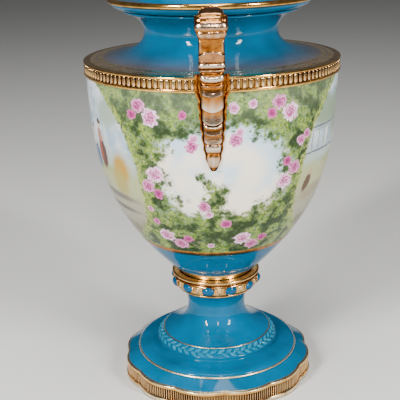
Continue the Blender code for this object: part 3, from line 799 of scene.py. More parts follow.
@dataclass
class Picture:
    """The layout of the painting, the same on both faces of the bowl.

    Garlands of roses frame a cream field round each handle, and an oval picture fills each
    side. The layout is kept as attributes that the enamel reads, so nothing of it is raised.
    """

    side: Sequence[Point]
    turn: float = 4.0
    field_drop: float = 62.0
    field_half_width: float = 49.0
    field_half_height: float = 37.0
    panel_drop: float = 66.0
    panel_half_width: float = 86.0
    panel_half_height: float = 76.0
    sprig_turn: float = -4.0
    sprig_top: float = 70.0
    sprig_half_width: float = 7.0
    sprig_fade: float = 0.8
    pale_from: float = 0.75
    rose_reach: float = 1.6
    nowhere: float = 9.0
    sprays: tuple[Spray, ...] = (
        Spray(-32.5, 11.5 * MM, 40.0),
        Spray(28.5, 10.0 * MM, 40.0),
        Spray(-31.5, 75.5 * MM, -54.0),
        Spray(38.5, 64.0 * MM, 131.0),
        Spray(-21.5, 134.0 * MM, 224.0),
        Spray(23.5, 136.0 * MM, 225.0),
    )
    single: tuple[Bloom, ...] = (
        Bloom(-12.5, 17.0 * MM, 3.4 * MM, 0.05),
        Bloom(-9.0, 40.5 * MM, 5.0 * MM, 0.30),
        Bloom(-8.2, 34.5 * MM, 3.4 * MM, 0.95),
        Bloom(8.5, 11.5 * MM, 4.2 * MM, 0.80),
        Bloom(9.2, 36.0 * MM, 5.2 * MM, 0.45),
        Bloom(11.0, 30.5 * MM, 3.6 * MM, 0.95),
        Bloom(16.5, 9.5 * MM, 3.6 * MM, 0.90),
        Bloom(-5.0, 91.0 * MM, 5.2 * MM, 0.40),
        Bloom(-2.6, 98.5 * MM, 3.6 * MM, 0.95),
        Bloom(5.8, 108.5 * MM, 4.2 * MM, 0.10),
        Bloom(41.0, 42.5 * MM, 4.2 * MM, 0.55),
        Bloom(44.5, 38.5 * MM, 3.8 * MM, 0.40),
        Bloom(-33.4, 97.5 * MM, 2.8 * MM, 0.70),
        Bloom(-32.2, 110.0 * MM, 3.3 * MM, 0.20),
        Bloom(-2.6, 134.0 * MM, 3.0 * MM, 0.85),
    )

    def __post_init__(self) -> None:
        """Measures the drop along the bowl's side."""
        points = np.array(self.side)[::-1]
        steps = np.linalg.norm(np.diff(points, axis=0), axis=1)
        self.heights = points[:, 1]
        self.radii = points[:, 0]
        self.drops = np.concatenate((np.cumsum(steps[::-1])[::-1], [0.0]))

    def blooms(self) -> list[Bloom]:
        """Every rose of one face.

        Returns:
            The roses.
        """
        made = list(self.single)
        for spray in self.sprays:
            made += spray.blooms(float(np.interp(-spray.drop, -self.drops, self.radii)))
        return made

    def places(self, spots: np.ndarray) -> tuple[np.ndarray, np.ndarray, np.ndarray]:
        """Turn from -Y in degrees, drop and radius of each spot."""
        turn = np.degrees(np.arctan2(spots[:, 0], -spots[:, 1]))
        return turn, np.interp(spots[:, 2], self.heights, self.drops), np.hypot(spots[:, 0], spots[:, 1])

    @staticmethod
    def half_turn(turn: np.ndarray, centre: float) -> np.ndarray:
        """The turn away from a centre and its opposite, whichever is nearer, in degrees."""
        return (turn - centre + 90.0) % 180.0 - 90.0

    def lay(self, piece: bpy.types.Object) -> None:
        """Writes the layout to a piece's attributes.

        Args:
            piece: The vessel.
        """
        mesh = piece.data
        flat = np.empty(3 * len(mesh.vertices))
        mesh.vertices.foreach_get("co", flat)
        spots = flat.reshape(-1, 3)
        turn, drop, radius = self.places(spots)
        drop_mm, girth_mm = drop / MM, radius / MM
        across = np.radians(self.half_turn(turn, self.turn)) * girth_mm
        tall = self.field_half_height
        leafage = (np.hypot(across / self.field_half_width, (drop_mm - self.field_drop) / tall) - 1.0) * tall
        beside = np.abs(across - np.radians(self.sprig_turn) * girth_mm)
        sprig = np.minimum(self.sprig_half_width - beside, (drop_mm - self.sprig_top) * self.sprig_fade)
        aside = np.radians(self.half_turn(turn, self.turn + 90.0)) * girth_mm
        oval = np.hypot(aside / self.panel_half_width, (drop_mm - self.panel_drop) / self.panel_half_height)
        layout = {
            "leafage": np.maximum(leafage, sprig),
            "panel": (1.0 - oval) * self.panel_half_width,
            "panel_across": aside,
            "drop": drop_mm,
        }
        for name, values in layout.items():
            mesh.attributes.new(name, "FLOAT", "POINT").data.foreach_set("value", values.astype(np.float32))
        pale = [bloom for bloom in self.blooms() if bloom.tint > self.pale_from]
        pink = [bloom for bloom in self.blooms() if bloom.tint <= self.pale_from]
        for name, blooms in (("pale_roses", pale), ("pink_roses", pink)):
            self.lay_roses(mesh, name, blooms, spots)

    def lay_roses(
        self, mesh: bpy.types.Mesh, name: str, blooms: Sequence[Bloom], spots: np.ndarray
    ) -> None:
        """Writes each corner's place in the nearest rose, in shares of the rose's radius.

        Args:
            mesh: The vessel's mesh.
            name: The attribute's name.
            blooms: The roses.
            spots: The vertices.
        """
        corners = np.empty(len(mesh.loops), dtype=np.int64)
        mesh.loops.foreach_get("vertex_index", corners)
        sizes = np.empty(len(mesh.polygons), dtype=np.int64)
        mesh.polygons.foreach_get("loop_total", sizes)
        centres = np.empty(3 * len(mesh.polygons))
        mesh.polygons.foreach_get("center", centres)
        nearest = np.full(len(sizes), self.rose_reach)
        chosen = np.full(len(sizes), -1)
        turn, drop, radius = self.places(centres.reshape(-1, 3))
        for index, bloom in enumerate(blooms):
            away = self.distance(bloom, turn, drop, radius)
            nearer = np.hypot(*away) < nearest
            nearest[nearer] = np.hypot(*away)[nearer]
            chosen[nearer] = index
        turn, drop, radius = self.places(spots[corners])
        owner = np.repeat(chosen, sizes)
        values = np.full((len(corners), 3), self.nowhere, dtype=np.float32)
        for index, bloom in enumerate(blooms):
            mine = owner == index
            away = self.distance(bloom, turn[mine], drop[mine], radius[mine])
            values[mine] = np.column_stack((away[0], away[1], np.full(mine.sum(), bloom.tint)))
        mesh.attributes.new(name, "FLOAT_VECTOR", "CORNER").data.foreach_set("vector", values.ravel())

    def distance(
        self, bloom: Bloom, turn: np.ndarray, drop: np.ndarray, radius: np.ndarray
    ) -> tuple[np.ndarray, np.ndarray]:
        """How far spots lie across and up from a rose, in shares of its radius."""
        across = np.radians(self.half_turn(turn, bloom.turn)) * radius / bloom.radius
        return across, (bloom.drop - drop) / bloom.radius


@dataclass
class Sheet:
    """What each layer of the painting reads: the places, the layout and soft noise."""

    tree: Any
    sprig: float
    wobble: float

    def __post_init__(self) -> None:
        """Reads the layout and lays the noise."""
        self.add = partial(add_node, self.tree)
        self.where = self.add(COORDINATES, out="Object")
        soft = {"Vector": self.where, "Scale": 1 / self.sprig, "Detail": 4.0}
        fine = {"Vector": self.where, "Scale": 1 / self.wobble}
        self.clump = self.add(NOISE, soft)
        self.grain = self.add(NOISE, fine | {"Detail": 2.0})
        self.shake = self.add(NOISE, fine | {"Detail": 3.0}, out="Color")
        names = ("leafage", "drop", "panel", "panel_across")
        layout = [self.add(ATTRIBUTE, out="Fac", attribute_name=name) for name in names]
        self.leafage, self.drop, self.panel, self.panel_across = layout

    def shaken(self, value: Any, reach: float) -> Any:
        """Places shaken to and fro by noise.

        Args:
            value: The places that are shaken.
            reach: How far at the most.

        Returns:
            The shaken places' socket.
        """
        centred = self.add(VECTOR_MATH, self.shake, (0.5, 0.5, 0.5), operation="SUBTRACT")
        return self.add(VECTOR_MATH, centred, (2 * reach,) * 3, value, operation="MULTIPLY_ADD")


@dataclass(frozen=True)
class EnamelPainting:
    """Enamel colours painted on white glaze: roses, leaves and soft pictures, fired glossy.

    Leaves are small dabs of mixed greens that thin out over the cream ground, roses are rings
    of petals from a deep heart to a pale edge, and the side pictures are broad soft strokes.
    The painter's finest leaves are drawn coarser than they are, so that they show.
    """

    name: str = "enamel_painting"
    leaf: float = 2.5 * MM
    sprig: float = 12 * MM
    wobble: float = 3.2 * MM
    figures: tuple[Dab, ...] = (
        Dab(-12, 22, 20, 12, "7F9476", 8, 0.5),
        Dab(2, 31, 13, 9, "64795A", 0, 0.45),
        Dab(-18, 36, 16, 8, "71865F", 0, 0.45),
        Dab(-4, 52, 1.5, 16, "5E4B3A", 4, 0.3),
        Dab(0, 68, 60, 3.5, "8E9A62", 2, 0.6),
        Dab(-66, 24, 22, 14, "7A8D72", 10, 0.4),
        Dab(-30, 30, 24, 20, "76896E", 0, 0.4),
        Dab(60, 22, 16, 12, "93A092", -20, 0.5),
        Dab(66, 66, 9, 12, "B0851E", 20, 0.45),
        Dab(60, 78, 9, 12, "A0924F", 10, 0.5),
        Dab(-60, 36, 34, 0.7, "555C65"),
        Dab(-60, 38.5, 34, 0.5, "8B9096"),
        Dab(-60, 56, 34, 0.9, "555C65"),
        *(Dab(across, 47, 0.8, 9, "7C8288") for across in range(-88, -42, 9)),
        Dab(-73, 82, 4.5, 8, "4D3020", 0, 0.25),
        Dab(-72, 73, 2.2, 2.6, "B98E6E"),
        Dab(-58, 92, 16, 7, "8E8468", -8, 0.4),
        Dab(43, 58, 6.5, 12, "4F1A13", 6, 0.15),
        Dab(40, 55, 2.6, 10, "8E3E2B", 4, 0.2),
        Dab(42, 43, 4.0, 6, "A0695C", -4, 0.15),
        Dab(47, 44, 4.5, 1.3, "C79C7F", 30),
        Dab(42, 34, 2.1, 2.7, "CFA78A"),
        Dab(42.2, 31.6, 3.0, 1.9, "35211A", 10),
        Dab(27, 62, 8.0, 11, "56708F", -5, 0.15),
        Dab(31, 60, 3.0, 10, "30466C", -8, 0.2),
        Dab(27, 48, 3.8, 6, "DCD0BE", 5, 0.2),
        Dab(26, 39, 2.1, 2.6, "CFA78A"),
        Dab(26, 37.2, 2.6, 1.9, "3D2C24", -8),
        Dab(10, 72, 9, 8, "4E3324", 0, 0.15),
        Dab(11, 62, 3.8, 6, "9C6527", -6, 0.15),
        Dab(11, 54, 2.0, 2.5, "CFA78A"),
        Dab(11.2, 52.4, 2.5, 1.8, "4B3428", 6),
        Dab(44, 92, 26, 3.2, "65605A", 4, 0.5),
        Dab(40, 104, 24, 2.6, "544F48", 4, 0.5),
        Dab(20, 84, 24, 4.0, "9A9A82", 0, 0.5),
    )
    greens: tuple[tuple[str, str], ...] = (
        ("1E3312", "56791F"),
        ("2E4A18", "8AA336"),
        ("223B14", "77962F"),
        ("3A5220", "A0AE4C"),
    )
    strata: tuple[tuple[float, float, float, str], ...] = (
        (44.0, 56.0, 0.8, "A3B0A8"),
        (58.0, 72.0, 1.0, "A5A77C"),
        (82.0, 102.0, 1.0, "98947F"),
        (108.0, 124.0, 1.0, "6F6A4E"),
    )
    petals: tuple[tuple[str, str], ...] = (("640744", "97226A"), ("A11F68", "CB6AA2"), ("C85C9C", "ECCCDD"))

    def build(self) -> bpy.types.Material:
        """Makes the material.

        Returns:
            The material.
        """
        material, tree, shader = new_material(self.name, {"Roughness": 0.14, "Specular IOR Level": 0.22})
        sheet = Sheet(tree, self.sprig, self.wobble)
        colour = self.side_picture(sheet, self.garland(sheet, self.ground(sheet)))
        for name in ("pale_roses", "pink_roses"):
            colour = self.roses(sheet, name, colour)
        tree.links.new(colour, shader.inputs["Base Color"])
        return material

    def ground(self, sheet: Sheet) -> Any:
        """Lays the cream ground, with pale blue clouds near the leaves.

        Args:
            sheet: What the layer reads.

        Returns:
            The colour's socket.
        """
        add = sheet.add
        cream = add(MIX, {0: sheet.clump, 6: linear("F5EBDA"), 7: linear("ECE2D0")}, **COLOURS)
        weather = add(NOISE, {"Vector": sheet.where, "Scale": 1 / (3 * self.sprig), "Detail": 3.0})
        drift = add(RANGE, weather, 0.40, 0.54, 0.0, 0.9, **SMOOTH)
        near = add(RANGE, sheet.leafage, -18.0, -5.0, **SMOOTH)
        cloud = add(MATH, near, drift, operation="MULTIPLY")
        return add(MIX, {0: cloud, 6: cream, 7: linear("B5D1DF")}, **COLOURS)

    def garland(self, sheet: Sheet, ground: Any) -> Any:
        """Lays leaf dabs over the ground, thick in the garland and scattered at its edge.

        Args:
            sheet: What the layer reads.
            ground: The colour under the leaves.

        Returns:
            The colour's socket.
        """
        add = sheet.add
        uneven = add(MATH, sheet.clump, 0.5, operation="SUBTRACT")
        spread = add(MATH, uneven, 38.0, sheet.leafage, operation="MULTIPLY_ADD")
        thick = add(RANGE, spread, -6.0, 8.0, **SMOOTH)
        wash = add(MIX, {0: sheet.clump, 6: linear("38531D"), 7: linear("728A3E")}, **COLOURS)
        washed = add(RANGE, spread, -6.0, 7.0, 0.0, 0.88, **SMOOTH)
        colour = add(MIX, {0: washed, 6: ground, 7: wash}, **COLOURS)
        moved = sheet.shaken(sheet.where, 1.6 * MM)
        mass = add(NOISE, {"Vector": sheet.where, "Scale": 1 / self.sprig, "Detail": 3.0})
        sunny = add(RANGE, mass, 0.60, 0.40, 0.0, 1.3, **SMOOTH)
        for step, (dark, light) in enumerate(self.greens):
            size = self.leaf * (1.7 - 0.35 * step)
            cells = add("ShaderNodeTexVoronoi", {"Vector": moved, "Scale": 1 / size}, out=None)
            chance = add("ShaderNodeSeparateColor", cells["Color"], out=None)
            there = add(RANGE, add(MATH, thick, chance[0], operation="SUBTRACT"), 0.0, 0.06, **SMOOTH)
            shape = add(RANGE, cells["Distance"], 0.60, 0.30, 0.0, 0.85, **SMOOTH)
            lit = add(MATH, chance[1], sunny, operation="MULTIPLY")
            tone = add(MIX, {0: lit, 6: linear(dark), 7: linear(light)}, **COLOURS)
            dab = add(MATH, there, shape, operation="MULTIPLY")
            colour = add(MIX, {0: dab, 6: colour, 7: tone}, **COLOURS)
        shady = add(RANGE, mass, 0.46, 0.60, 0.0, 0.8, **SMOOTH)
        deep = add(MATH, shady, add(RANGE, spread, 0.0, 12.0, **SMOOTH), operation="MULTIPLY")
        colour = add(MIX, {0: deep, 6: colour, 7: linear("1F2F10")}, **COLOURS)
        haze = add(RANGE, sheet.drop, 30.0, 6.0, 0.0, 0.40, **SMOOTH)
        haze = add(MATH, haze, sheet.grain, operation="MULTIPLY")
        return add(MIX, {0: haze, 6: colour, 7: linear("95A482")}, **COLOURS)

    def side_picture(self, sheet: Sheet, garland: Any) -> Any:
        """Lays the oval pictures: sky, hills, meadow, a terrace and small figures.

        Args:
            sheet: What the layer reads.
            garland: The colour round the ovals.

        Returns:
            The colour's socket.
        """
        add = sheet.add
        rough, uneven = (add(MATH, noise, 0.5, operation="SUBTRACT") for noise in (sheet.grain, sheet.clump))
        edge = add(MATH, rough, 7.0, sheet.panel, operation="MULTIPLY_ADD")
        edge = add(MATH, uneven, 9.0, edge, operation="MULTIPLY_ADD")
        low = add(MATH, uneven, 26.0, sheet.drop, operation="MULTIPLY_ADD")
        clouds = add(RANGE, sheet.clump, 0.35, 0.65, **SMOOTH)
        land = add(MIX, {0: clouds, 6: linear("93AABD"), 7: linear("CBD2D3")}, **COLOURS)
        for start, end, cover, colour in self.strata:
            share = add(RANGE, low, start, end, 0.0, cover, **SMOOTH)
            land = add(MIX, {0: share, 6: land, 7: linear(colour)}, **COLOURS)
        spot = sheet.shaken(add("ShaderNodeCombineXYZ", sheet.panel_across, sheet.drop), 1.4)
        for dab in self.figures:
            turn = (0.0, 0.0, math.radians(dab.tilt))
            middle, size = (dab.across, dab.drop, 0.0), (dab.wide, dab.tall, 1.0)
            placed = add("ShaderNodeMapping", spot, middle, turn, size, vector_type="TEXTURE")
            level = add(VECTOR_MATH, placed, (1.0, 1.0, 0.0), operation="MULTIPLY")
            reach = add(VECTOR_MATH, level, out="Value", operation="LENGTH")
            share = add(RANGE, reach, 1.0 + dab.soft, 1.0 - dab.soft, 0.0, 0.96, **SMOOTH)
            land = add(MIX, {0: share, 6: land, 7: linear(dab.colour)}, **COLOURS)
        inside = add(RANGE, edge, -1.2, 1.2, **SMOOTH)
        inside = add(MIX, {0: inside, 6: garland, 7: land}, **COLOURS)
        away = add(MATH, add(MATH, edge, 1.5, operation="ADD"), operation="ABSOLUTE")
        broken = add(RANGE, sheet.grain, 0.35, 0.60, 0.0, 0.8, **SMOOTH)
        rim = add(MATH, add(RANGE, away, 4.5, 0.5, **SMOOTH), broken, operation="MULTIPLY")
        gilt = add(MIX, {0: sheet.clump, 6: linear("7D9238"), 7: linear("B9BE66")}, **COLOURS)
        return add(MIX, {0: rim, 6: inside, 7: gilt}, **COLOURS)

    def roses(self, sheet: Sheet, name: str, colour: Any) -> Any:
        """Lays roses, each with rings of petals round a deep heart.

        Args:
            sheet: What the layer reads.
            name: The attribute that holds each corner's place in its rose.
            colour: The colour under them.

        Returns:
            The colour's socket.
        """
        add = sheet.add
        place = add(ATTRIBUTE, out="Vector", attribute_name=name)
        across, up, tint = add("ShaderNodeSeparateXYZ", place, out=None)
        reach = add(VECTOR_MATH, add("ShaderNodeCombineXYZ", across, up), out="Value", operation="LENGTH")
        way = add(MATH, up, across, operation="ARCTAN2")
        turned = add(MATH, tint, 9.0, operation="MULTIPLY")
        lobes = add(MATH, add(MATH, way, 7.0, turned, operation="MULTIPLY_ADD"), operation="SINE")
        uneven = add(MATH, sheet.grain, 0.5, operation="SUBTRACT")
        reach = add(MATH, uneven, 1.1, reach, operation="MULTIPLY_ADD")
        reach = add(MATH, lobes, 0.05, reach, operation="MULTIPLY_ADD")
        spiral = add(MATH, way, 3.0, operation="MULTIPLY")
        ring = add(MATH, add(MATH, reach, 15.0, spiral, operation="MULTIPLY_ADD"), operation="SINE")
        heart, middle, outer = (
            add(MIX, {0: tint, 6: linear(deep), 7: linear(pale)}, **COLOURS) for deep, pale in self.petals
        )
        layers = (
            (add(RANGE, reach, 0.15, 0.50, **SMOOTH), middle),
            (add(RANGE, reach, 0.48, 0.90, **SMOOTH), outer),
            (add(RANGE, ring, 0.3, 0.9, 0.0, 0.7, **SMOOTH), outer),
            (add(RANGE, ring, -0.4, -0.9, 0.0, 0.55, **SMOOTH), heart),
        )
        rose = heart
        for share, tone in layers:
            rose = add(MIX, {0: share, 6: rose, 7: tone}, **COLOURS)
        return add(MIX, {0: add(RANGE, reach, 1.04, 0.92, **SMOOTH), 6: colour, 7: rose}, **COLOURS)


@dataclass
class Vessel:
    """The hollow vessel: lip, neck, shoulder, ribbed band, painted bowl and foot."""

    wall: float = 5.5 * MM
    foot_radius: float = 32.2 * MM
    foot_height: float = 9.9 * MM
    foot_bead: float = 1.3 * MM
    bowl_foot_radius: float = 38.0 * MM
    bowl_top_radius: float = 103.5 * MM
    bowl_depth: float = 170.6 * MM
    picture_low: float = 32.6 * MM
    band_radius: float = 105.0 * MM
    band_height: float = 11.2 * MM
    upper_fillet: float = 1.8 * MM
    lower_fillet: float = 2.4 * MM
    band_sink: float = 1.7 * MM
    ribs: int = 140
    rib_depth: float = 1.5 * MM
    handle_gap: float = 13.0 * MM
    shoulder_edge_in: float = 3.4 * MM
    neck_radius: float = 54.7 * MM
    shoulder_rise: float = 20.4 * MM
    neck_rise: float = 16.3 * MM
    neck_bead_radius: float = 71.2 * MM
    neck_bead_height: float = 2.6 * MM
    flare_rise: float = 5.4 * MM
    lip_radius: float = 83.6 * MM
    lip_thickness: float = 4.3 * MM
    mouth_radius: float = 66.0 * MM
    mouth_dip: float = 1.2 * MM
    foot_z: float = field(default_factory=lambda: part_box("urn_body")[0].z)

    def __post_init__(self) -> None:
        """Works out the heights from the foot up."""
        self.bowl_low_z = self.foot_z + self.foot_height
        self.band_low_z = self.bowl_low_z + self.bowl_depth
        self.band_top_z = self.band_low_z + self.band_height
        self.neck_z = self.band_top_z + self.shoulder_rise
        self.neck_bead_z = self.neck_z + self.neck_rise
        self.flare_low_z = self.neck_bead_z + self.neck_bead_height
        self.lip_low_z = self.flare_low_z + self.flare_rise
        self.lip_top_z = self.lip_low_z + self.lip_thickness

    def bowl_side(self, steps: int) -> list[Point]:
        """The bowl's side from under the band down to its foot.

        Args:
            steps: How many points after its start.

        Returns:
            The points.
        """
        top, foot = self.bowl_top_radius, self.bowl_foot_radius
        width = top - foot
        start = (top, self.band_low_z)
        side = (top - width * 0.037, self.band_low_z - self.bowl_depth * 0.36)
        belly = (foot + width * 0.985, self.bowl_low_z + self.bowl_depth * 0.373)
        return [start] + bezier(start, side, belly, (foot, self.bowl_low_z), steps)

    def shoulder_side(self, steps: int) -> list[Point]:
        """The shoulder from the narrowest part of the neck out to its edge.

        Args:
            steps: How many points after its start.

        Returns:
            The points.
        """
        edge = self.band_radius - self.shoulder_edge_in
        reach = edge - self.neck_radius
        start = (self.neck_radius, self.neck_z)
        hollow = (self.neck_radius, self.neck_z - self.shoulder_rise * 0.56)
        crown = (edge - reach * 0.69, self.band_top_z + self.shoulder_rise * 0.165)
        return [start] + bezier(start, hollow, crown, (edge, self.band_top_z), steps)

    def neck_side(self, steps: int) -> list[Point]:
        """The neck from under the bead down to its narrowest part.

        Args:
            steps: How many points after its start.

        Returns:
            The points.
        """
        top = self.neck_bead_radius - self.neck_bead_height / 2
        flare = top - self.neck_radius
        start = (top, self.neck_bead_z)
        pull = (top - flare * 0.52, self.neck_bead_z - self.neck_rise * 0.16)
        hold = (self.neck_radius, self.neck_z + self.neck_rise * 0.58)
        return [start] + bezier(start, pull, hold, (self.neck_radius, self.neck_z), steps)

    def inside(self) -> list[Point]:
        """The hollow's side from the bowl's floor up to the mouth.

        Returns:
            The points.
        """
        bowl = offset(self.bowl_side(24), -self.wall)
        widest = max(radius for radius, _ in bowl)
        shoulder = [p for p in offset(self.shoulder_side(12), -self.wall) if p[0] < widest - self.wall / 2]
        top = (self.mouth_radius, self.lip_top_z - self.mouth_dip)
        low = shoulder[0]
        throat = bezier(
            top,
            (low[0] + (top[0] - low[0]) * 0.35, top[1] - self.mouth_dip),
            (low[0], self.neck_z + (top[1] - self.neck_z) * 0.55),
            low,
            10,
        )
        ceiling = self.band_top_z - self.wall
        corner = [(widest - self.wall / 2, ceiling), (widest, ceiling - self.wall / 2)]
        down = [top] + throat + shoulder[1:] + corner + bowl[1:]
        return list(reversed(down))

    def outline(self) -> Outline:
        """The whole closed outline: up the inside, over the lip and down the outside.

        Returns:
            The outline.
        """
        inside = self.inside()
        drawn = Outline((0.0, inside[0][1]))
        drawn.add(inside[:-12], Skin.WHITE).add(inside[-12:], Skin.TURQUOISE)
        roll = self.lip_thickness * 0.42
        drawn.line(self.lip_radius - roll * 1.9, self.lip_top_z - roll * 0.1, Skin.TURQUOISE, 4)
        drawn.line(self.lip_radius - roll, self.lip_top_z, Skin.GOLD)
        drawn.quarter(self.lip_radius, self.lip_top_z - roll, Skin.GOLD, upright_first=False)
        drawn.line(self.lip_radius, self.lip_low_z + roll * 0.8, Skin.GOLD)
        drawn.quarter(self.lip_radius - roll, self.lip_low_z, Skin.GOLD, upright_first=True)
        bead_radius = self.neck_bead_radius - self.neck_bead_height / 2
        drawn.line(self.lip_radius - roll * 1.6, self.lip_low_z, Skin.GOLD)
        drawn.quarter(bead_radius, self.flare_low_z, Skin.TURQUOISE, upright_first=True, steps=10)
        drawn.bead(bead_radius, self.neck_bead_z, self.neck_bead_height / 2, Skin.TURQUOISE)
        drawn.add(self.neck_side(18)[1:], Skin.TURQUOISE)
        shoulder = self.shoulder_side(44)[1:]
        # The shoulder's glaze, with a painted bronze reflection towards its edge.
        drawn.add(shoulder[:-6], Skin.GLAZE_PAINTED_REFLECTION)
        drawn.bead(*shoulder[-5], 0.3 * MM, Skin.PALE_GOLD, 4)
        drawn.add(shoulder[-4:-3], Skin.GLAZE_PAINTED_REFLECTION)
        drawn.bead(*shoulder[-2], 0.25 * MM, Skin.PALE_GOLD, 4)
        drawn.add(shoulder[-1:], Skin.GOLD)
        self.draw_band(drawn)
        bowl = self.bowl_side(120)[1:]
        line_z = self.bowl_low_z + self.picture_low
        picture = [point for point in bowl if point[1] > line_z]
        below = [point for point in bowl if point[1] <= line_z]
        drawn.line(self.bowl_top_radius, self.band_low_z, Skin.GOLD)
        drawn.add(picture, Skin.PAINTING)
        # A gilt line in the darker gold, its darkness a painted dark reflection.
        drawn.bead(*below[2], 0.3 * MM, Skin.GOLD_PAINTED_DARK, 6)
        drawn.add(below[3::2], Skin.TURQUOISE)
        self.draw_foot(drawn)
        return drawn

    def draw_band(self, drawn: Outline) -> None:
        """The band's two fillets and the sunk field that holds the ribs.

        Args:
            drawn: The outline, which is drawn further.
        """
        top, low, edge = self.band_top_z, self.band_low_z, self.band_radius
        field_radius = edge - self.band_sink
        upper = top - self.upper_fillet
        lower = low + self.lower_fillet
        round_off = self.upper_fillet * 0.35
        drawn.line(edge - round_off, top, Skin.GOLD, 2)
        drawn.quarter(edge, top - round_off, Skin.GOLD, upright_first=False, steps=4)
        drawn.line(edge, upper + round_off, Skin.GOLD)
        drawn.quarter(edge - round_off, upper, Skin.GOLD, upright_first=True, steps=4)
        drawn.line(field_radius, upper, Skin.GOLD)
        drawn.line(field_radius, lower, Skin.GOLD, 3)
        drawn.line(edge - round_off, lower, Skin.GOLD)
        drawn.quarter(edge, lower - round_off, Skin.GOLD, upright_first=False, steps=4)
        drawn.line(edge, low + round_off, Skin.GOLD)
        drawn.quarter(edge - round_off, low, Skin.GOLD, upright_first=True, steps=4)

    def draw_foot(self, drawn: Outline) -> None:
        """The bead under the bowl and the foot that stands in the collar.

        Args:
            drawn: The outline, which is drawn further.
        """
        bead_low = self.bowl_low_z - 2 * self.foot_bead
        drawn.line(self.foot_radius + self.foot_bead, self.bowl_low_z, Skin.PALE_GOLD)
        drawn.bead(self.foot_radius, bead_low, self.foot_bead * 0.9, Skin.PALE_GOLD)
        drawn.line(self.foot_radius, self.foot_z, Skin.GOLD, 2)
        drawn.line(0.0, self.foot_z, Skin.BISQUE)

    def build(self, finishes: Finishes) -> list[bpy.types.Object]:
        """Turns the vessel and sets its ribs.

        Args:
            finishes: The material of each finish.

        Returns:
            The pieces.
        """
        shell = Lathe(segments=300).turn("vessel_porcelain", self.outline(), finishes)
        Picture(self.bowl_side(200)).lay(shell)
        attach(shell, "root")
        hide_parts("urn_body")
        ribs = self.build_ribs(finishes[Skin.GOLD])
        return [shell, ribs]

    def build_ribs(self, gold: bpy.types.Material) -> bpy.types.Object:
        """The upright ribs between the band's fillets, left out behind the handles.

        Args:
            gold: Their finish.

        Returns:
            The piece.
        """
        low = self.band_low_z + self.lower_fillet
        top = self.band_top_z - self.upper_fillet
        pitch = 2 * math.pi * self.band_radius / self.ribs
        tall = top - low + 0.4 * MM
        rib = dome("rib", pitch * 0.64, tall, self.rib_depth, 5, 20, 0.45)
        seat = self.band_radius - self.band_sink - 0.05 * MM
        free = math.asin(self.handle_gap / self.band_radius)
        ring = CopyRing(self.ribs, seat, (low + top) / 2, free_turn=free)
        made = ring.build("band_ribs", rib, gold)
        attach(made, "root")
        return made


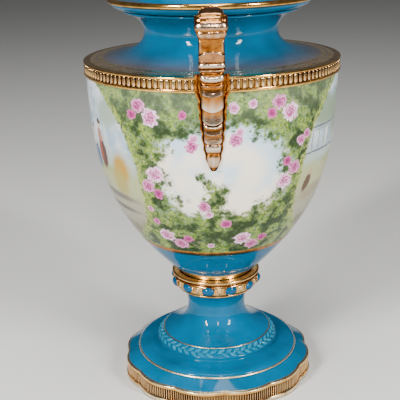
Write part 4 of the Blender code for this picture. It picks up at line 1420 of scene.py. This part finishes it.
@dataclass
class Pedestal:
    """The turned pedestal: jewelled collar, stem, leaf wreath and lobed, reeded plinth."""

    plinth_radius: float = 84.0 * MM
    lobes: int = 12
    lobe_depth: float = 2.6 * MM
    lobe_turn: float = math.radians(3.2)
    foot_lip_height: float = 3.8 * MM
    foot_lip_out: float = 0.8 * MM
    reed_band_height: float = 10.2 * MM
    reed_band_sink: float = 2.1 * MM
    reeds_per_lobe: int = 20
    reed_depth: float = 1.9 * MM
    rim_height: float = 2.4 * MM
    plinth_rise: float = 6.8 * MM
    wall: float = 7.0 * MM
    outer_line_radius: float = 71.2 * MM
    outer_bead: float = 0.7 * MM
    ovolo_top_radius: float = 61.5 * MM
    ovolo_height: float = 4.8 * MM
    cove_top_radius: float = 54.3 * MM
    cove_height: float = 1.4 * MM
    step_height: float = 3.3 * MM
    wreath_outer_radius: float = 53.3 * MM
    wreath_height: float = 6.6 * MM
    wreath_inner_radius: float = 47.8 * MM
    leaves: int = 46
    leaf_length: float = 7.6 * MM
    leaf_width: float = 3.6 * MM
    leaf_spread: float = 1.7 * MM
    leaf_relief: float = 1.3 * MM
    leaf_lean: float = math.radians(32)
    leaf_steps: int = 10
    leaf_sides: int = 8
    inner_bead: float = 0.6 * MM
    stem_radius: float = 25.3 * MM
    flare_height: float = 24.2 * MM
    neck_height: float = 16.6 * MM
    collar_foot_radius: float = 34.3 * MM
    collar_height: float = 16.6 * MM
    collar_radius: float = 37.6 * MM
    collar_rim_radius: float = 38.7 * MM
    collar_bead: float = 1.0 * MM
    seat_depth: float = 4.2 * MM
    seat_radius: float = 32.5 * MM
    jewels: int = 12
    jewel_turn: float = math.radians(-10.3)
    jewel_width: float = 12.2 * MM
    jewel_height: float = 8.8 * MM
    jewel_relief: float = 3.0 * MM
    bezel_wire: float = 1.1 * MM
    boss_size: float = 4.2 * MM
    boss_relief: float = 1.3 * MM

    def __post_init__(self) -> None:
        """Works out the heights from the floor up."""
        self.reeds_top_z = self.foot_lip_height + self.reed_band_height
        self.rim_z = self.reeds_top_z + self.rim_height
        self.line_z = self.rim_z + self.plinth_rise
        self.ovolo_z = self.line_z + self.ovolo_height
        self.cove_z = self.ovolo_z + self.cove_height
        self.wreath_low_z = self.cove_z + self.step_height
        self.wreath_top_z = self.wreath_low_z + self.wreath_height
        self.stem_z = self.wreath_top_z + self.flare_height
        self.collar_low_z = self.stem_z + self.neck_height
        self.collar_top_z = self.collar_low_z + self.collar_height
        self.jewel_z = self.collar_low_z + self.collar_height * 0.47
        self.start = FRONT + self.lobe_turn

    def lobe_push(self, radius: float, angles: np.ndarray) -> np.ndarray:
        """How far the scalloped edge moves a ring out, at each angle.

        Args:
            radius: The ring's radius.
            angles: The angles.

        Returns:
            The moves, none above 0.
        """
        span = self.plinth_radius - self.outer_line_radius
        share = min(max((radius - self.outer_line_radius) / span, 0.0), 1.0)
        wave = np.abs(np.sin((angles - self.start) * self.lobes / 2))
        return -self.lobe_depth * (1.0 - wave) * share

    def outline(self) -> Outline:
        """The closed outline: from the collar's seat down the outside, then up the hollow.

        Returns:
            The outline.
        """
        drawn = Outline((0.0, self.collar_top_z - self.seat_depth))
        self.draw_collar(drawn)
        self.draw_stem(drawn)
        self.draw_mouldings(drawn)
        self.draw_plinth(drawn)
        self.draw_hollow(drawn)
        return drawn

    def draw_collar(self, drawn: Outline) -> None:
        """The seat, the bright rim, the cove, the jewelled band and the gilt edge under it.

        Args:
            drawn: The outline, which is drawn further.
        """
        rim, top = self.collar_bead, self.collar_top_z
        roll = self.collar_rim_radius - 1.6 * rim
        drawn.line(self.seat_radius, top - self.seat_depth, Skin.BISQUE, 2)
        drawn.line(self.seat_radius + rim / 2, top - rim / 2, Skin.PALE_GOLD, 2)
        drawn.line(roll, top - 0.2 * rim, Skin.PALE_GOLD, 2)
        drawn.bead(roll, top - 3.2 * rim, 1.6 * rim, Skin.SATIN_GOLD, 12)
        cove = self.collar_radius - 2.2 * rim
        band_top = self.jewel_z + self.jewel_height * 0.46
        hollow = (cove, top - 3.6 * rim), (cove, band_top + rim / 2)
        drawn.curve(*hollow, (self.collar_radius - rim, band_top), Skin.SATIN_GOLD, 8)
        low = (self.collar_radius - rim, self.jewel_z - self.jewel_height * 0.5)
        drawn.bead(low[0], low[1], rim, Skin.SATIN_GOLD, 12)
        drawn.line(self.collar_foot_radius - rim, self.collar_low_z + 2 * rim, Skin.SATIN_GOLD, 3)
        drawn.bead(self.collar_foot_radius - rim, self.collar_low_z, rim, Skin.SATIN_GOLD)

    def draw_stem(self, drawn: Outline) -> None:
        """The waisted stem, down to the line above the wreath.

        Args:
            drawn: The outline, which is drawn further.
        """
        top = self.collar_foot_radius - self.collar_bead
        waist = (self.stem_radius, self.stem_z)
        drawn.curve(
            (top - (top - self.stem_radius) * 0.45, self.collar_low_z - self.neck_height * 0.2),
            (self.stem_radius, self.stem_z + self.neck_height * 0.62),
            waist,
            Skin.TURQUOISE,
            14,
        )
        low = self.wreath_inner_radius - self.inner_bead
        drawn.curve(
            (self.stem_radius, self.stem_z - self.flare_height * 0.62),
            (low - (low - self.stem_radius) * 0.45, self.wreath_top_z + self.flare_height * 0.2),
            (low, self.wreath_top_z + self.inner_bead),
            Skin.TURQUOISE,
            22,
        )

    def draw_mouldings(self, drawn: Outline) -> None:
        """The wreath's slope, the step, the cove, the ovolo and the gilt lines between.

        Args:
            drawn: The outline, which is drawn further.
        """
        bead = self.outer_bead
        drawn.bead(self.wreath_inner_radius, self.wreath_top_z, self.inner_bead * 0.8, Skin.PALE_GOLD, 6)
        drawn.line(self.wreath_outer_radius - 0.9 * MM, self.wreath_low_z + 1.0 * MM, Skin.TURQUOISE, 6)
        drawn.bead(self.wreath_outer_radius, self.wreath_low_z - 0.3 * MM, 0.4 * MM, Skin.TURQUOISE, 6)
        drawn.line(self.wreath_outer_radius, self.cove_z + self.cove_height, Skin.TURQUOISE, 3)
        drawn.quarter(self.cove_top_radius, self.cove_z, Skin.TURQUOISE, upright_first=True, steps=5)
        drawn.line(self.ovolo_top_radius, self.ovolo_z, Skin.TURQUOISE, 4)
        edge = self.outer_line_radius
        drawn.quarter(edge - bead, self.line_z + 2 * bead, Skin.TURQUOISE, upright_first=False, steps=12)
        drawn.bead(edge, self.line_z, bead * 0.8, Skin.PALE_GOLD, 6)

    def draw_plinth(self, drawn: Outline) -> None:
        """The sloping top of the lobed plinth, its rim, the field for the reeds and the foot lip.

        Args:
            drawn: The outline, which is drawn further.
        """
        radius, sunk = self.plinth_radius, self.plinth_radius - self.reed_band_sink
        edge = self.rim_height * 0.3
        drawn.line(radius - 3 * edge, self.rim_z + 0.9 * edge, Skin.TURQUOISE, 10)
        drawn.line(radius - edge, self.rim_z, Skin.PALE_GOLD, 2)
        drawn.quarter(radius, self.rim_z - edge, Skin.PALE_GOLD, upright_first=False, steps=5)
        drawn.line(radius, self.reeds_top_z, Skin.GOLD, 2)
        drawn.line(sunk, self.reeds_top_z, Skin.GOLD)
        drawn.line(sunk, self.foot_lip_height, Skin.GOLD, 4)
        drawn.line(radius, self.foot_lip_height, Skin.GOLD)
        drawn.bead(radius, 0.0, self.foot_lip_out, Skin.PALE_GOLD, 8)

    def draw_hollow(self, drawn: Outline) -> None:
        """The flat underside and the hollow that runs up into the stem.

        Args:
            drawn: The outline, which is drawn further.
        """
        wall = self.wall
        side = self.plinth_radius - self.lobe_depth - wall
        drawn.line(side, 0.0, Skin.BISQUE, 4)
        corners = (
            (side, self.rim_z, 3),
            (self.outer_line_radius - wall / 2, self.line_z, 2),
            (self.wreath_outer_radius, self.ovolo_z, 2),
            (self.wreath_inner_radius - wall, self.wreath_top_z, 2),
        )
        for radius, height, steps in corners:
            drawn.line(radius, height - wall, Skin.WHITE, steps)
        drawn.quarter(self.stem_radius - wall, self.stem_z, Skin.WHITE, upright_first=False, steps=8)
        drawn.line(0.0, self.stem_z, Skin.WHITE)

    def build(self, finishes: Finishes) -> list[bpy.types.Object]:
        """Turns the pedestal and sets its reeds, leaves, jewels and bosses.

        Args:
            finishes: The material of each finish.

        Returns:
            The pieces.
        """
        lathe = Lathe(segments=self.lobes * 24, start=self.start, push=self.lobe_push)
        shell = lathe.turn("pedestal_porcelain", self.outline(), finishes)
        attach(shell, "root")
        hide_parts("pedestal")
        made = [shell, self.build_reeds(finishes[Skin.GOLD])]
        made += self.build_wreath(finishes[Skin.LEAVES]) + self.build_jewels(finishes)
        return made

    def build_reeds(self, gold: bpy.types.Material) -> bpy.types.Object:
        """The upright reeds round the scalloped edge.

        Args:
            gold: Their finish.

        Returns:
            The piece.
        """
        count = self.lobes * self.reeds_per_lobe
        pitch = 2 * math.pi * self.plinth_radius / count
        reed = dome("reed", pitch * 0.50, self.reed_band_height + 0.3 * MM, self.reed_depth, 4, 16, 0.6)
        ring = CopyRing(
            count,
            self.plinth_radius - self.reed_band_sink - 0.05 * MM,
            self.foot_lip_height + self.reed_band_height / 2,
            start=self.start + math.pi / count,
            lobes=self.lobes,
            lobe_depth=self.lobe_depth,
            lobe_start=self.start,
        )
        made = ring.build("plinth_reeds", reed, gold)
        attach(made, "root")
        return made

    def leaf(self, side: float) -> bpy.types.Mesh:
        """One low pointed leaf that lies on the wreath's slope, its tip along the wreath.

        Args:
            side: 1 for a leaf on the wreath's outer side, -1 for one on its inner side.

        Returns:
            The closed mesh.
        """
        reach = self.wreath_outer_radius - self.wreath_inner_radius
        fall = Vector((reach, 0.0, -self.wreath_height)).normalized()
        normal = Vector((-fall.z, 0.0, fall.x))
        lean = self.leaf_lean * side
        along = Vector((0.0, math.cos(lean), 0.0)) + fall * math.sin(lean)
        across = normal.cross(along)
        rows = []
        for step in range(self.leaf_steps + 1):
            share = step / self.leaf_steps
            half = self.leaf_width / 2 * max(math.sin(math.pi * share) ** 0.7, 0.02)
            middle = along * self.leaf_length * (share - 0.5) + fall * self.leaf_spread * side
            spots = []
            for corner in range(self.leaf_sides):
                angle = 2 * math.pi * corner / self.leaf_sides
                crest = abs(math.cos(angle)) ** 0.5 * CREST_SHARE
                thick = self.leaf_relief * (1.0 - crest) * max(math.sin(math.pi * share), 0.05)
                rim = across * half * math.cos(angle)
                spots.append(tuple(middle + rim + normal * thick * math.sin(angle)))
            rows.append(spots)
        return loft("leaf", rows)

    def build_wreath(self, glaze: bpy.types.Material) -> list[bpy.types.Object]:
        """The wreath's two rows of leaves.

        Args:
            glaze: Their finish.

        Returns:
            The pieces, the outer row first.
        """
        made = []
        for name, side in (("wreath_leaves_outer", 1.0), ("wreath_leaves_inner", -1.0)):
            ring = CopyRing(
                self.leaves,
                (self.wreath_outer_radius + self.wreath_inner_radius) / 2,
                (self.wreath_low_z + self.wreath_top_z) / 2,
                start=math.pi / self.leaves * max(side, 0.0),
            )
            row = ring.build(name, self.leaf(side), glaze)
            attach(row, "root")
            made.append(row)
        return made

    def build_jewels(self, finishes: Finishes) -> list[bpy.types.Object]:
        """The turquoise cabochons, their gilt bezels and the bosses between them.

        Args:
            finishes: The material of each finish.

        Returns:
            The pieces.
        """
        start = FRONT + self.jewel_turn
        wide, tall = self.jewel_width - self.bezel_wire, self.jewel_height - self.bezel_wire
        jewel = dome("jewel", wide, tall, self.jewel_relief, 7, 24)
        bezel = hoop("bezel", wide, tall, self.bezel_wire, 28, 8)
        boss = dome("boss", self.boss_size, self.boss_size * 1.4, self.boss_relief, 5, 16)
        items = (
            ("collar_jewels", jewel, Skin.JEWEL, start, 0.4 * MM),
            ("jewel_bezels", bezel, Skin.GOLD, start, 0.1 * MM),
            ("collar_bosses", boss, Skin.SATIN_GOLD, start + math.pi / self.jewels, 0.5 * MM),
        )
        made = []
        for name, item, skin, turn, sink in items:
            ring = CopyRing(self.jewels, self.collar_radius - sink, self.jewel_z, start=turn)
            piece = ring.build(name, item, finishes[skin])
            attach(piece, "root")
            made.append(piece)
        return made


class Moulding(Enum):
    """How a stretch of the handle swells."""

    ROLL = "half-round"
    HUSK = "flares down and steps in"
    BEADS = "a row of beads"


@dataclass(frozen=True)
class Swell:
    """One carved ring of the handle, between two shares of its length.

    A bow draws the ring's middle down, as a share of the handle's length.
    """

    start: float
    end: float
    height: float
    kind: Moulding = Moulding.ROLL
    bow: float = 0.0

    def lift(self, share: float, across: np.ndarray) -> np.ndarray:
        """How high the ring stands.

        Args:
            share: The place along the handle.
            across: The places across, from -1 to 1.

        Returns:
            The height at each place across, in metres.
        """
        moved = share - self.bow * (1.0 - across**2)
        inside = np.clip((moved - self.start) / (self.end - self.start), 0.0, 1.0)
        round_over = np.sin(math.pi * inside) ** 0.6
        if self.kind is Moulding.ROLL:
            return self.height * round_over
        if self.kind is Moulding.BEADS:
            beads = np.abs(np.sin(3.5 * math.pi * (across + 1.0) / 2))
            return self.height * round_over * (0.35 + 0.65 * beads)
        close = np.clip((1.0 - inside) / 0.10, 0.0, 1.0)
        return self.height * inside**1.3 * close


@dataclass
class Handle:
    """A gilt scroll handle: a ringed knuckle and shaft, then a tail of husks on the bowl."""

    vessel: Vessel
    width: float = 19.5 * MM
    thickness: float = 9.5 * MM
    root_rise: float = 9.6 * MM
    root_sink: float = 3.0 * MM
    lip_space: float = 17.9 * MM
    arch_drop: float = 5.8 * MM
    knuckle_out: float = 10.1 * MM
    knuckle_drop: float = 16.6 * MM
    shaft_out: float = 3.8 * MM
    shaft_up: float = 20.5 * MM
    band_out: float = 1.2 * MM
    tail_length: float = 58.0 * MM
    tail_sink: float = 1.0 * MM
    stations: int = 600
    corners: int = 72
    squareness: float = 0.62
    taper: tuple[Spot, ...] = (
        (0.000, 0.72, 0.95),
        (0.130, 0.74, 0.95),
        (0.240, 0.86, 1.02),
        (0.300, 0.88, 1.14),
        (0.335, 0.96, 1.16),
        (0.345, 1.20, 1.18),
        (0.385, 1.18, 1.18),
        (0.410, 1.00, 1.12),
        (0.420, 0.95, 1.06),
        (0.520, 0.95, 0.96),
        (0.560, 0.96, 0.98),
        (0.575, 0.86, 0.98),
        (0.620, 0.84, 0.96),
        (0.700, 0.79, 0.93),
        (0.780, 0.73, 0.86),
        (0.860, 0.65, 0.76),
        (0.900, 0.54, 0.66),
        (0.950, 0.46, 0.56),
        (0.980, 0.32, 0.48),
        (1.000, 0.12, 0.28),
    )
    rings: tuple[Swell, ...] = (
        Swell(0.338, 0.350, 0.5 * MM),
        Swell(0.351, 0.364, 0.4 * MM, Moulding.BEADS),
        Swell(0.366, 0.388, 0.8 * MM),
        Swell(0.391, 0.408, 0.8 * MM, Moulding.BEADS),
        Swell(0.408, 0.416, -0.5 * MM),
        Swell(0.529, 0.5525, 1.2 * MM),
        Swell(0.5525, 0.558, -0.5 * MM),
        Swell(0.558, 0.568, 0.7 * MM, Moulding.BEADS),
        Swell(0.568, 0.577, -0.6 * MM),
        Swell(0.577, 0.604, 1.3 * MM, bow=0.008),
        Swell(0.606, 0.620, -0.7 * MM, bow=0.008),
        Swell(0.622, 0.630, 0.6 * MM),
        Swell(0.630, 0.662, 1.1 * MM, Moulding.HUSK, 0.010),
        Swell(0.662, 0.722, 1.5 * MM, Moulding.HUSK, 0.018),
        Swell(0.724, 0.782, 1.5 * MM, Moulding.HUSK, 0.018),
        Swell(0.784, 0.792, 0.7 * MM, bow=0.018),
        Swell(0.793, 0.804, 1.1 * MM, bow=0.010),
        Swell(0.806, 0.832, 1.1 * MM, Moulding.HUSK, 0.010),
        Swell(0.832, 0.874, 1.4 * MM, Moulding.HUSK, 0.006),
        Swell(0.880, 0.918, 1.2 * MM),
        Swell(0.919, 0.928, -0.5 * MM),
        Swell(0.930, 0.990, 0.9 * MM),
    )
    border: tuple[float, float] = (0.418, 0.483)
    border_height: float = 0.6 * MM
    border_place: float = 0.86
    border_width: float = 0.08
    leaf: tuple[float, float] = (0.482, 0.527)
    leaf_height: float = 1.0 * MM
    leaf_edge: float = 0.0035
    keels: tuple[tuple[float, float], ...] = ((0.655, 0.800), (0.930, 0.985))
    keel_height: float = 0.9 * MM
    keel_width: float = 0.13
    plate_widths: tuple[Point, ...] = (
        (-0.24, 12.0),
        (-0.20, 12.9),
        (-0.02, 12.9),
        (0.05, 10.9),
        (0.35, 9.6),
        (0.61, 8.1),
        (0.80, 6.4),
        (0.95, 4.0),
        (1.02, 1.2),
    )
    plate_wave: float = 8.0 * MM
    cap: tuple[float, float] = (0.302, 0.340)
    cap_height: float = 0.5 * MM
    # The lift of a ring or relief at which the gilding's painted highlight is full.
    full_highlight_lift: float = 1.5 * MM

    def middle_line(self) -> np.ndarray:
        """The handle's middle line, from the neck over the arch and down the bowl.

        Returns:
            Rows of radius and height.
        """
        vessel = self.vessel
        root_z = vessel.neck_z + self.root_rise
        root_r = radius_at(vessel.neck_side(24), root_z)
        arch = (vessel.lip_radius + self.lip_space, vessel.lip_top_z - self.arch_drop)
        knuckle_z = vessel.lip_top_z - self.knuckle_drop
        edge = vessel.band_radius
        points = [(root_r - self.root_sink, root_z)]
        for out, up in ((0.30, 0.06), (0.62, 0.42), (1.0, 1.0)):
            points.append((root_r + (arch[0] - root_r) * out, root_z + (arch[1] - root_z) * up))
        points.append((edge + self.knuckle_out * 0.75, (arch[1] + knuckle_z) / 2 + self.thickness * 0.3))
        points.append((edge + self.knuckle_out, knuckle_z))
        points.append((edge + self.shaft_out, vessel.band_top_z + self.shaft_up))
        points.append((edge + self.band_out, vessel.band_low_z))
        bowl = vessel.bowl_side(60)
        for share in (0.25, 0.5, 0.75, 1.0):
            height = vessel.band_low_z - self.tail_length * share
            points.append((radius_at(bowl, height) + self.tail_sink * (1.0 - share), height))
        return self.smooth_line(points, 12)

    @staticmethod
    def smooth_line(points: Sequence[Point], per_span: int) -> np.ndarray:
        """A smooth line through the points.

        Args:
            points: The points it passes through.
            per_span: Steps between each two.

        Returns:
            Rows of radius and height.
        """
        padded = np.array([points[0], *points, points[-1]])
        rows = []
        for p, q, r, s in zip(padded, padded[1:], padded[2:], padded[3:]):
            for step in range(per_span):
                t = step / per_span
                cubic = (3 * q - p - 3 * r + s) * t**3
                rows.append(0.5 * (2 * q + (r - p) * t + (2 * p - 5 * q + 4 * r - s) * t * t + cubic))
        rows.append(padded[-1])
        return np.array(rows)

    def section(self) -> tuple[np.ndarray, np.ndarray]:
        """The corners of the handle's rounded section.

        Returns:
            Their places across and out, as shares of half its width and half its thickness.
        """
        angle = 2 * math.pi * (np.arange(self.corners) + 0.5) / self.corners
        across = np.sign(np.cos(angle)) * np.abs(np.cos(angle)) ** self.squareness
        out = np.sign(np.sin(angle)) * np.abs(np.sin(angle)) ** self.squareness
        return across, out

    def mesh(self, name: str, side: float) -> bpy.types.Mesh:
        """The handle's carved body as one loft.

        Args:
            name: The mesh's name.
            side: -1 for the front handle, 1 for the one at the back.

        Returns:
            The closed mesh.
        """
        line = self.middle_line()
        steps = np.linalg.norm(np.diff(line, axis=0), axis=1)
        reach = np.concatenate(([0.0], np.cumsum(steps)))
        shares = np.linspace(0.0, 1.0, self.stations)
        at = shares * reach[-1]
        middle = np.column_stack([np.interp(at, reach, line[:, axis]) for axis in (0, 1)])
        ahead = np.gradient(middle, axis=0)
        ahead /= np.linalg.norm(ahead, axis=1)[:, None]
        outward = np.column_stack((-ahead[:, 1], ahead[:, 0]))
        keys = np.array(self.taper)
        wide = np.interp(shares, keys[:, 0], keys[:, 1]) * self.width / 2
        thick = np.interp(shares, keys[:, 0], keys[:, 2]) * self.thickness / 2
        across, out = self.section()
        rows = []
        painted_highlights = []
        for index, share in enumerate(shares):
            face = np.clip(2.5 * out, 0.0, 1.0)
            lift = sum(ring.lift(share, across) for ring in self.rings) + self.relief(share, across)
            x = across * (wide[index] + 0.35 * np.clip(lift, 0.0, None) * (1.0 - np.abs(out)) * (out > -0.9))
            y = out * thick[index] + face * lift
            # Raised rings and relief get a painted highlight in the gilding.
            painted_highlights.append(np.clip(face * lift / self.full_highlight_lift, 0.0, 1.0) ** 1.5)
            spots = middle[index] + outward[index] * y[:, None]
            rows.append([(float(a), float(side * r), float(z)) for a, (r, z) in zip(x, spots)])
        mesh = loft(name, rows)
        crest = mesh.attributes.new("crest", "FLOAT", "POINT")
        crest.data.foreach_set("value", np.array(painted_highlights, dtype=np.float32).ravel())
        return mesh

    def relief(self, share: float, across: np.ndarray) -> np.ndarray:
        """The shaft's borders, the turned-over leaf, the keels and the cap.

        Args:
            share: The place along the handle.
            across: The places across, from -1 to 1.

        Returns:
            How far they stand above the face at each place across, in metres.
        """
        border = np.exp(-(((np.abs(across) - self.border_place) / self.border_width) ** 2))
        raised = self.border_height * border * (self.border[0] < share < self.border[1])
        start, end = self.leaf
        past = share - (start + 0.5 * (end - start) * across**2)
        fold = self.leaf_height * np.exp(-((past / self.leaf_edge) ** 2))
        body = 0.3 * MM * np.clip(past / 0.004, 0.0, 1.0)
        raised = raised + (fold + body) * (start - 0.012 < share < end)
        keel = self.keel_height * np.exp(-((across / self.keel_width) ** 2))
        for low, high in self.keels:
            raised = raised + keel * (low < share < high)
        inside = min(max((share - self.cap[0]) / (self.cap[1] - self.cap[0]), 0.0), 1.0)
        return raised + self.cap_height * math.sin(math.pi * inside) ** 0.6 * (1.0 - 0.7 * across**2)

    def plate(self, name: str, side: float) -> bpy.types.Mesh:
        """The thin leaf that lies on the band and the bowl under the husks.

        Args:
            name: The mesh's name.
            side: -1 for the front handle, 1 for the one at the back.

        Returns:
            The closed mesh.
        """
        vessel = self.vessel
        bowl = vessel.bowl_side(60)
        keys = np.array(self.plate_widths)
        rows = []
        across = np.linspace(-1.0, 1.0, 41)
        for share in np.linspace(keys[0, 0], keys[-1, 0], 220):
            height = vessel.band_low_z - self.tail_length * share
            ground = radius_at(bowl, height) if share > 0.0 else vessel.band_radius - 0.4 * MM
            wave = math.sin(2 * math.pi * self.tail_length * share / self.plate_wave)
            half = (np.interp(share, keys[:, 0], keys[:, 1]) + 0.35 * wave) * MM
            curl = np.exp(-(((np.abs(across) - 0.90) / 0.09) ** 2)) * (0.8 + 0.10 * wave) * MM
            ribs = 0.25 * MM * np.cos(across * 9 * math.pi) * (np.abs(across) < 0.8)
            top = ground + 0.5 * MM + curl + ribs
            x = across * half
            outer = np.column_stack((x, side * np.sqrt(top**2 - x**2)))
            inner = np.column_stack((x, side * np.sqrt((ground - 0.8 * MM) ** 2 - x**2)))[::-1]
            rows.append([(float(a), float(b), float(height)) for a, b in np.vstack((outer, inner))])
        return loft(name, rows)

    def build_plate(self, name: str, side: float, gold: bpy.types.Material) -> bpy.types.Object:
        """One leaf under a handle's husks, gilded.

        Args:
            name: The piece's name.
            side: -1 for the front handle, 1 for the one at the back.
            gold: Its finish.

        Returns:
            The piece.
        """
        mesh = self.plate(name, side)
        mesh.materials.append(gold)
        made = new_object(name, mesh)
        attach(made, "root")
        return made

    def build(self, name: str, node: str, side: float, gold: bpy.types.Material) -> bpy.types.Object:
        """One handle, gilded.

        Args:
            name: The piece's name.
            node: The solid that it stands for.
            side: -1 for the front handle, 1 for the one at the back.
            gold: Its finish.

        Returns:
            The piece.
        """
        mesh = self.mesh(name, side)
        mesh.materials.append(gold)
        made = new_object(name, mesh)
        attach(made, "root")
        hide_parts(node)
        return made


@dataclass
class Studio:
    """A pale floor, soft lights and the camera."""

    lens_px: float = 857.66
    frame_px: float = 400.0
    sensor_mm: float = 36.0
    yaw: float = -0.0176019
    pitch: float = 0.3219361
    roll: float = -0.0246338
    distance: float = 0.70757
    height: float = 0.3946
    floor_size: float = 14.0
    aim: Spot = (0.0, 0.0, 0.2)
    surround: float = 0.12
    lights: tuple[tuple[str, Spot, Point, float], ...] = (
        ("window_left", (-0.9, -1.1, 0.9), (0.16, 0.70), 38.0),
        ("window_right", (1.0, -0.9, 0.8), (0.16, 0.70), 25.0),
        ("window_middle", (0.14, -1.5, 1.0), (0.12, 0.60), 9.0),
        ("top_softbox", (0.0, -0.3, 1.6), (0.6, 0.6), 11.0),
    )

    def build_camera(self) -> None:
        """Sets the camera where the photograph was taken from."""
        turn = Matrix.Rotation(-self.yaw, 3, "Z") @ Matrix.Rotation(-self.pitch, 3, "X")
        forward, right, up = turn @ Vector((0, 1, 0)), turn @ Vector((1, 0, 0)), turn @ Vector((0, 0, 1))
        c, s = math.cos(self.roll), math.sin(self.roll)
        level, upright = c * right + s * up, -s * right + c * up
        data = bpy.data.cameras.new("portrait_camera")
        data.sensor_width = self.sensor_mm
        data.lens = self.lens_px / self.frame_px * self.sensor_mm
        data.clip_start, data.clip_end = 0.01, 60.0
        camera = bpy.data.objects.new("portrait_camera", data)
        bpy.context.scene.collection.objects.link(camera)
        rotation = Matrix((level, upright, -forward)).transposed().to_4x4()
        camera.matrix_world = Matrix.Translation((0.0, -self.distance, self.height)) @ rotation
        bpy.context.scene.camera = camera

    def build_floor(self) -> None:
        """A plain pale floor that fills the picture behind the urn."""
        half = self.floor_size / 2
        mesh = bpy.data.meshes.new("studio_floor")
        corners = [(-half, -half, 0.0), (half, -half, 0.0), (half, half, 0.0), (-half, half, 0.0)]
        mesh.from_pydata(corners, [], [(0, 1, 2, 3)])
        material, _, shader = new_material("studio_paper", {"Roughness": 0.9})
        shader.inputs["Base Color"].default_value = linear("D9D8D4")
        mesh.materials.append(material)
        new_object("studio_floor", mesh)

    def build_light(self, name: str, place: Spot, size: Point, power: float) -> None:
        """One soft rectangular light that faces the urn.

        Args:
            name: The light's name.
            place: Where it hangs.
            size: Its width and height.
            power: Its power in watts.
        """
        data = bpy.data.lights.new(name, "AREA")
        data.shape = "RECTANGLE"
        data.size, data.size_y = size
        data.energy = power
        light = bpy.data.objects.new(name, data)
        bpy.context.scene.collection.objects.link(light)
        light.location = place
        aim = Vector(self.aim) - Vector(place)
        light.rotation_mode = "QUATERNION"
        light.rotation_quaternion = aim.to_track_quat("-Z", "Y")

    def build(self) -> None:
        """Sets the camera, the floor, the lights and a dim even surround."""
        self.build_camera()
        self.build_floor()
        for light in self.lights:
            self.build_light(*light)
        world = bpy.data.worlds.new("studio_surround")
        bpy.context.scene.world = world
        world.use_nodes = True
        backdrop = world.node_tree.nodes["Background"]
        backdrop.inputs["Color"].default_value = linear("E6E8EA")
        backdrop.inputs["Strength"].default_value = self.surround


def report(pieces: Iterable[bpy.types.Object]) -> None:
    """Logs each piece with its triangles.

    Args:
        pieces: The pieces.
    """
    for piece in pieces:
        triangles = sum(len(face.vertices) - 2 for face in piece.data.polygons)
        LOG.info("%s: %d triangles", piece.name, triangles)


def main() -> None:
    """Builds and dresses the urn, then sets the studio round it."""
    logging.basicConfig(level=logging.INFO, format="%(name)s: %(message)s")
    wanted = {
        Skin.TURQUOISE: TurquoiseGlaze(),
        # The shoulder's glaze, with a painted bronze reflection from 58 to 98 mm out from the axis.
        Skin.GLAZE_PAINTED_REFLECTION: TurquoiseGlaze("glaze_with_painted_reflection", painted_reflection_from=58 * MM, painted_reflection_to=98 * MM),
        Skin.LEAVES: TurquoiseGlaze("thin_glaze", "1E809E", "005A78", cloud=5 * MM),
        Skin.JEWEL: TurquoiseGlaze("jewel_glaze", "004E74", "003F60", specular=0.35),
        Skin.GOLD: BurnishedGold(),
        # The handles' gold: worn patches, and a darker tone than the band's gold as a painted dark
        # reflection.
        Skin.GOLD_PAINTED_DARK: BurnishedGold(
            "gold_painted_dark", "B8742B", "6E340D", "421A07", patch=5 * MM, roughness=0.18, dint=0.5
        ),
        Skin.SATIN_GOLD: BurnishedGold("satin_gold", "E2B26C", "B98243", "7A4519", roughness=0.2),
        Skin.PALE_GOLD: BurnishedGold("pale_gold_line", "F6E2B8", "D9AE72", roughness=0.26),
        Skin.PAINTING: EnamelPainting(),
        Skin.WHITE: ClearGlaze(),
        Skin.BISQUE: ClearGlaze("unglazed_porcelain", "E3DED0", roughness=0.6, coat=0.0),
    }
    finishes = {skin: finish.build() for skin, finish in wanted.items()}
    vessel = Vessel()
    report(vessel.build(finishes))
    report(Pedestal().build(finishes))
    handle = Handle(vessel)
    for place, side in (("front", -1.0), ("back", 1.0)):
        report([handle.build(f"gilt_handle_{place}", f"handle_{place}", side, finishes[Skin.GOLD_PAINTED_DARK])])
        report([handle.build_plate(f"gilt_leaf_{place}", side, finishes[Skin.GOLD_PAINTED_DARK])])
    Studio().build()


if __name__ == "__main__":
    main()
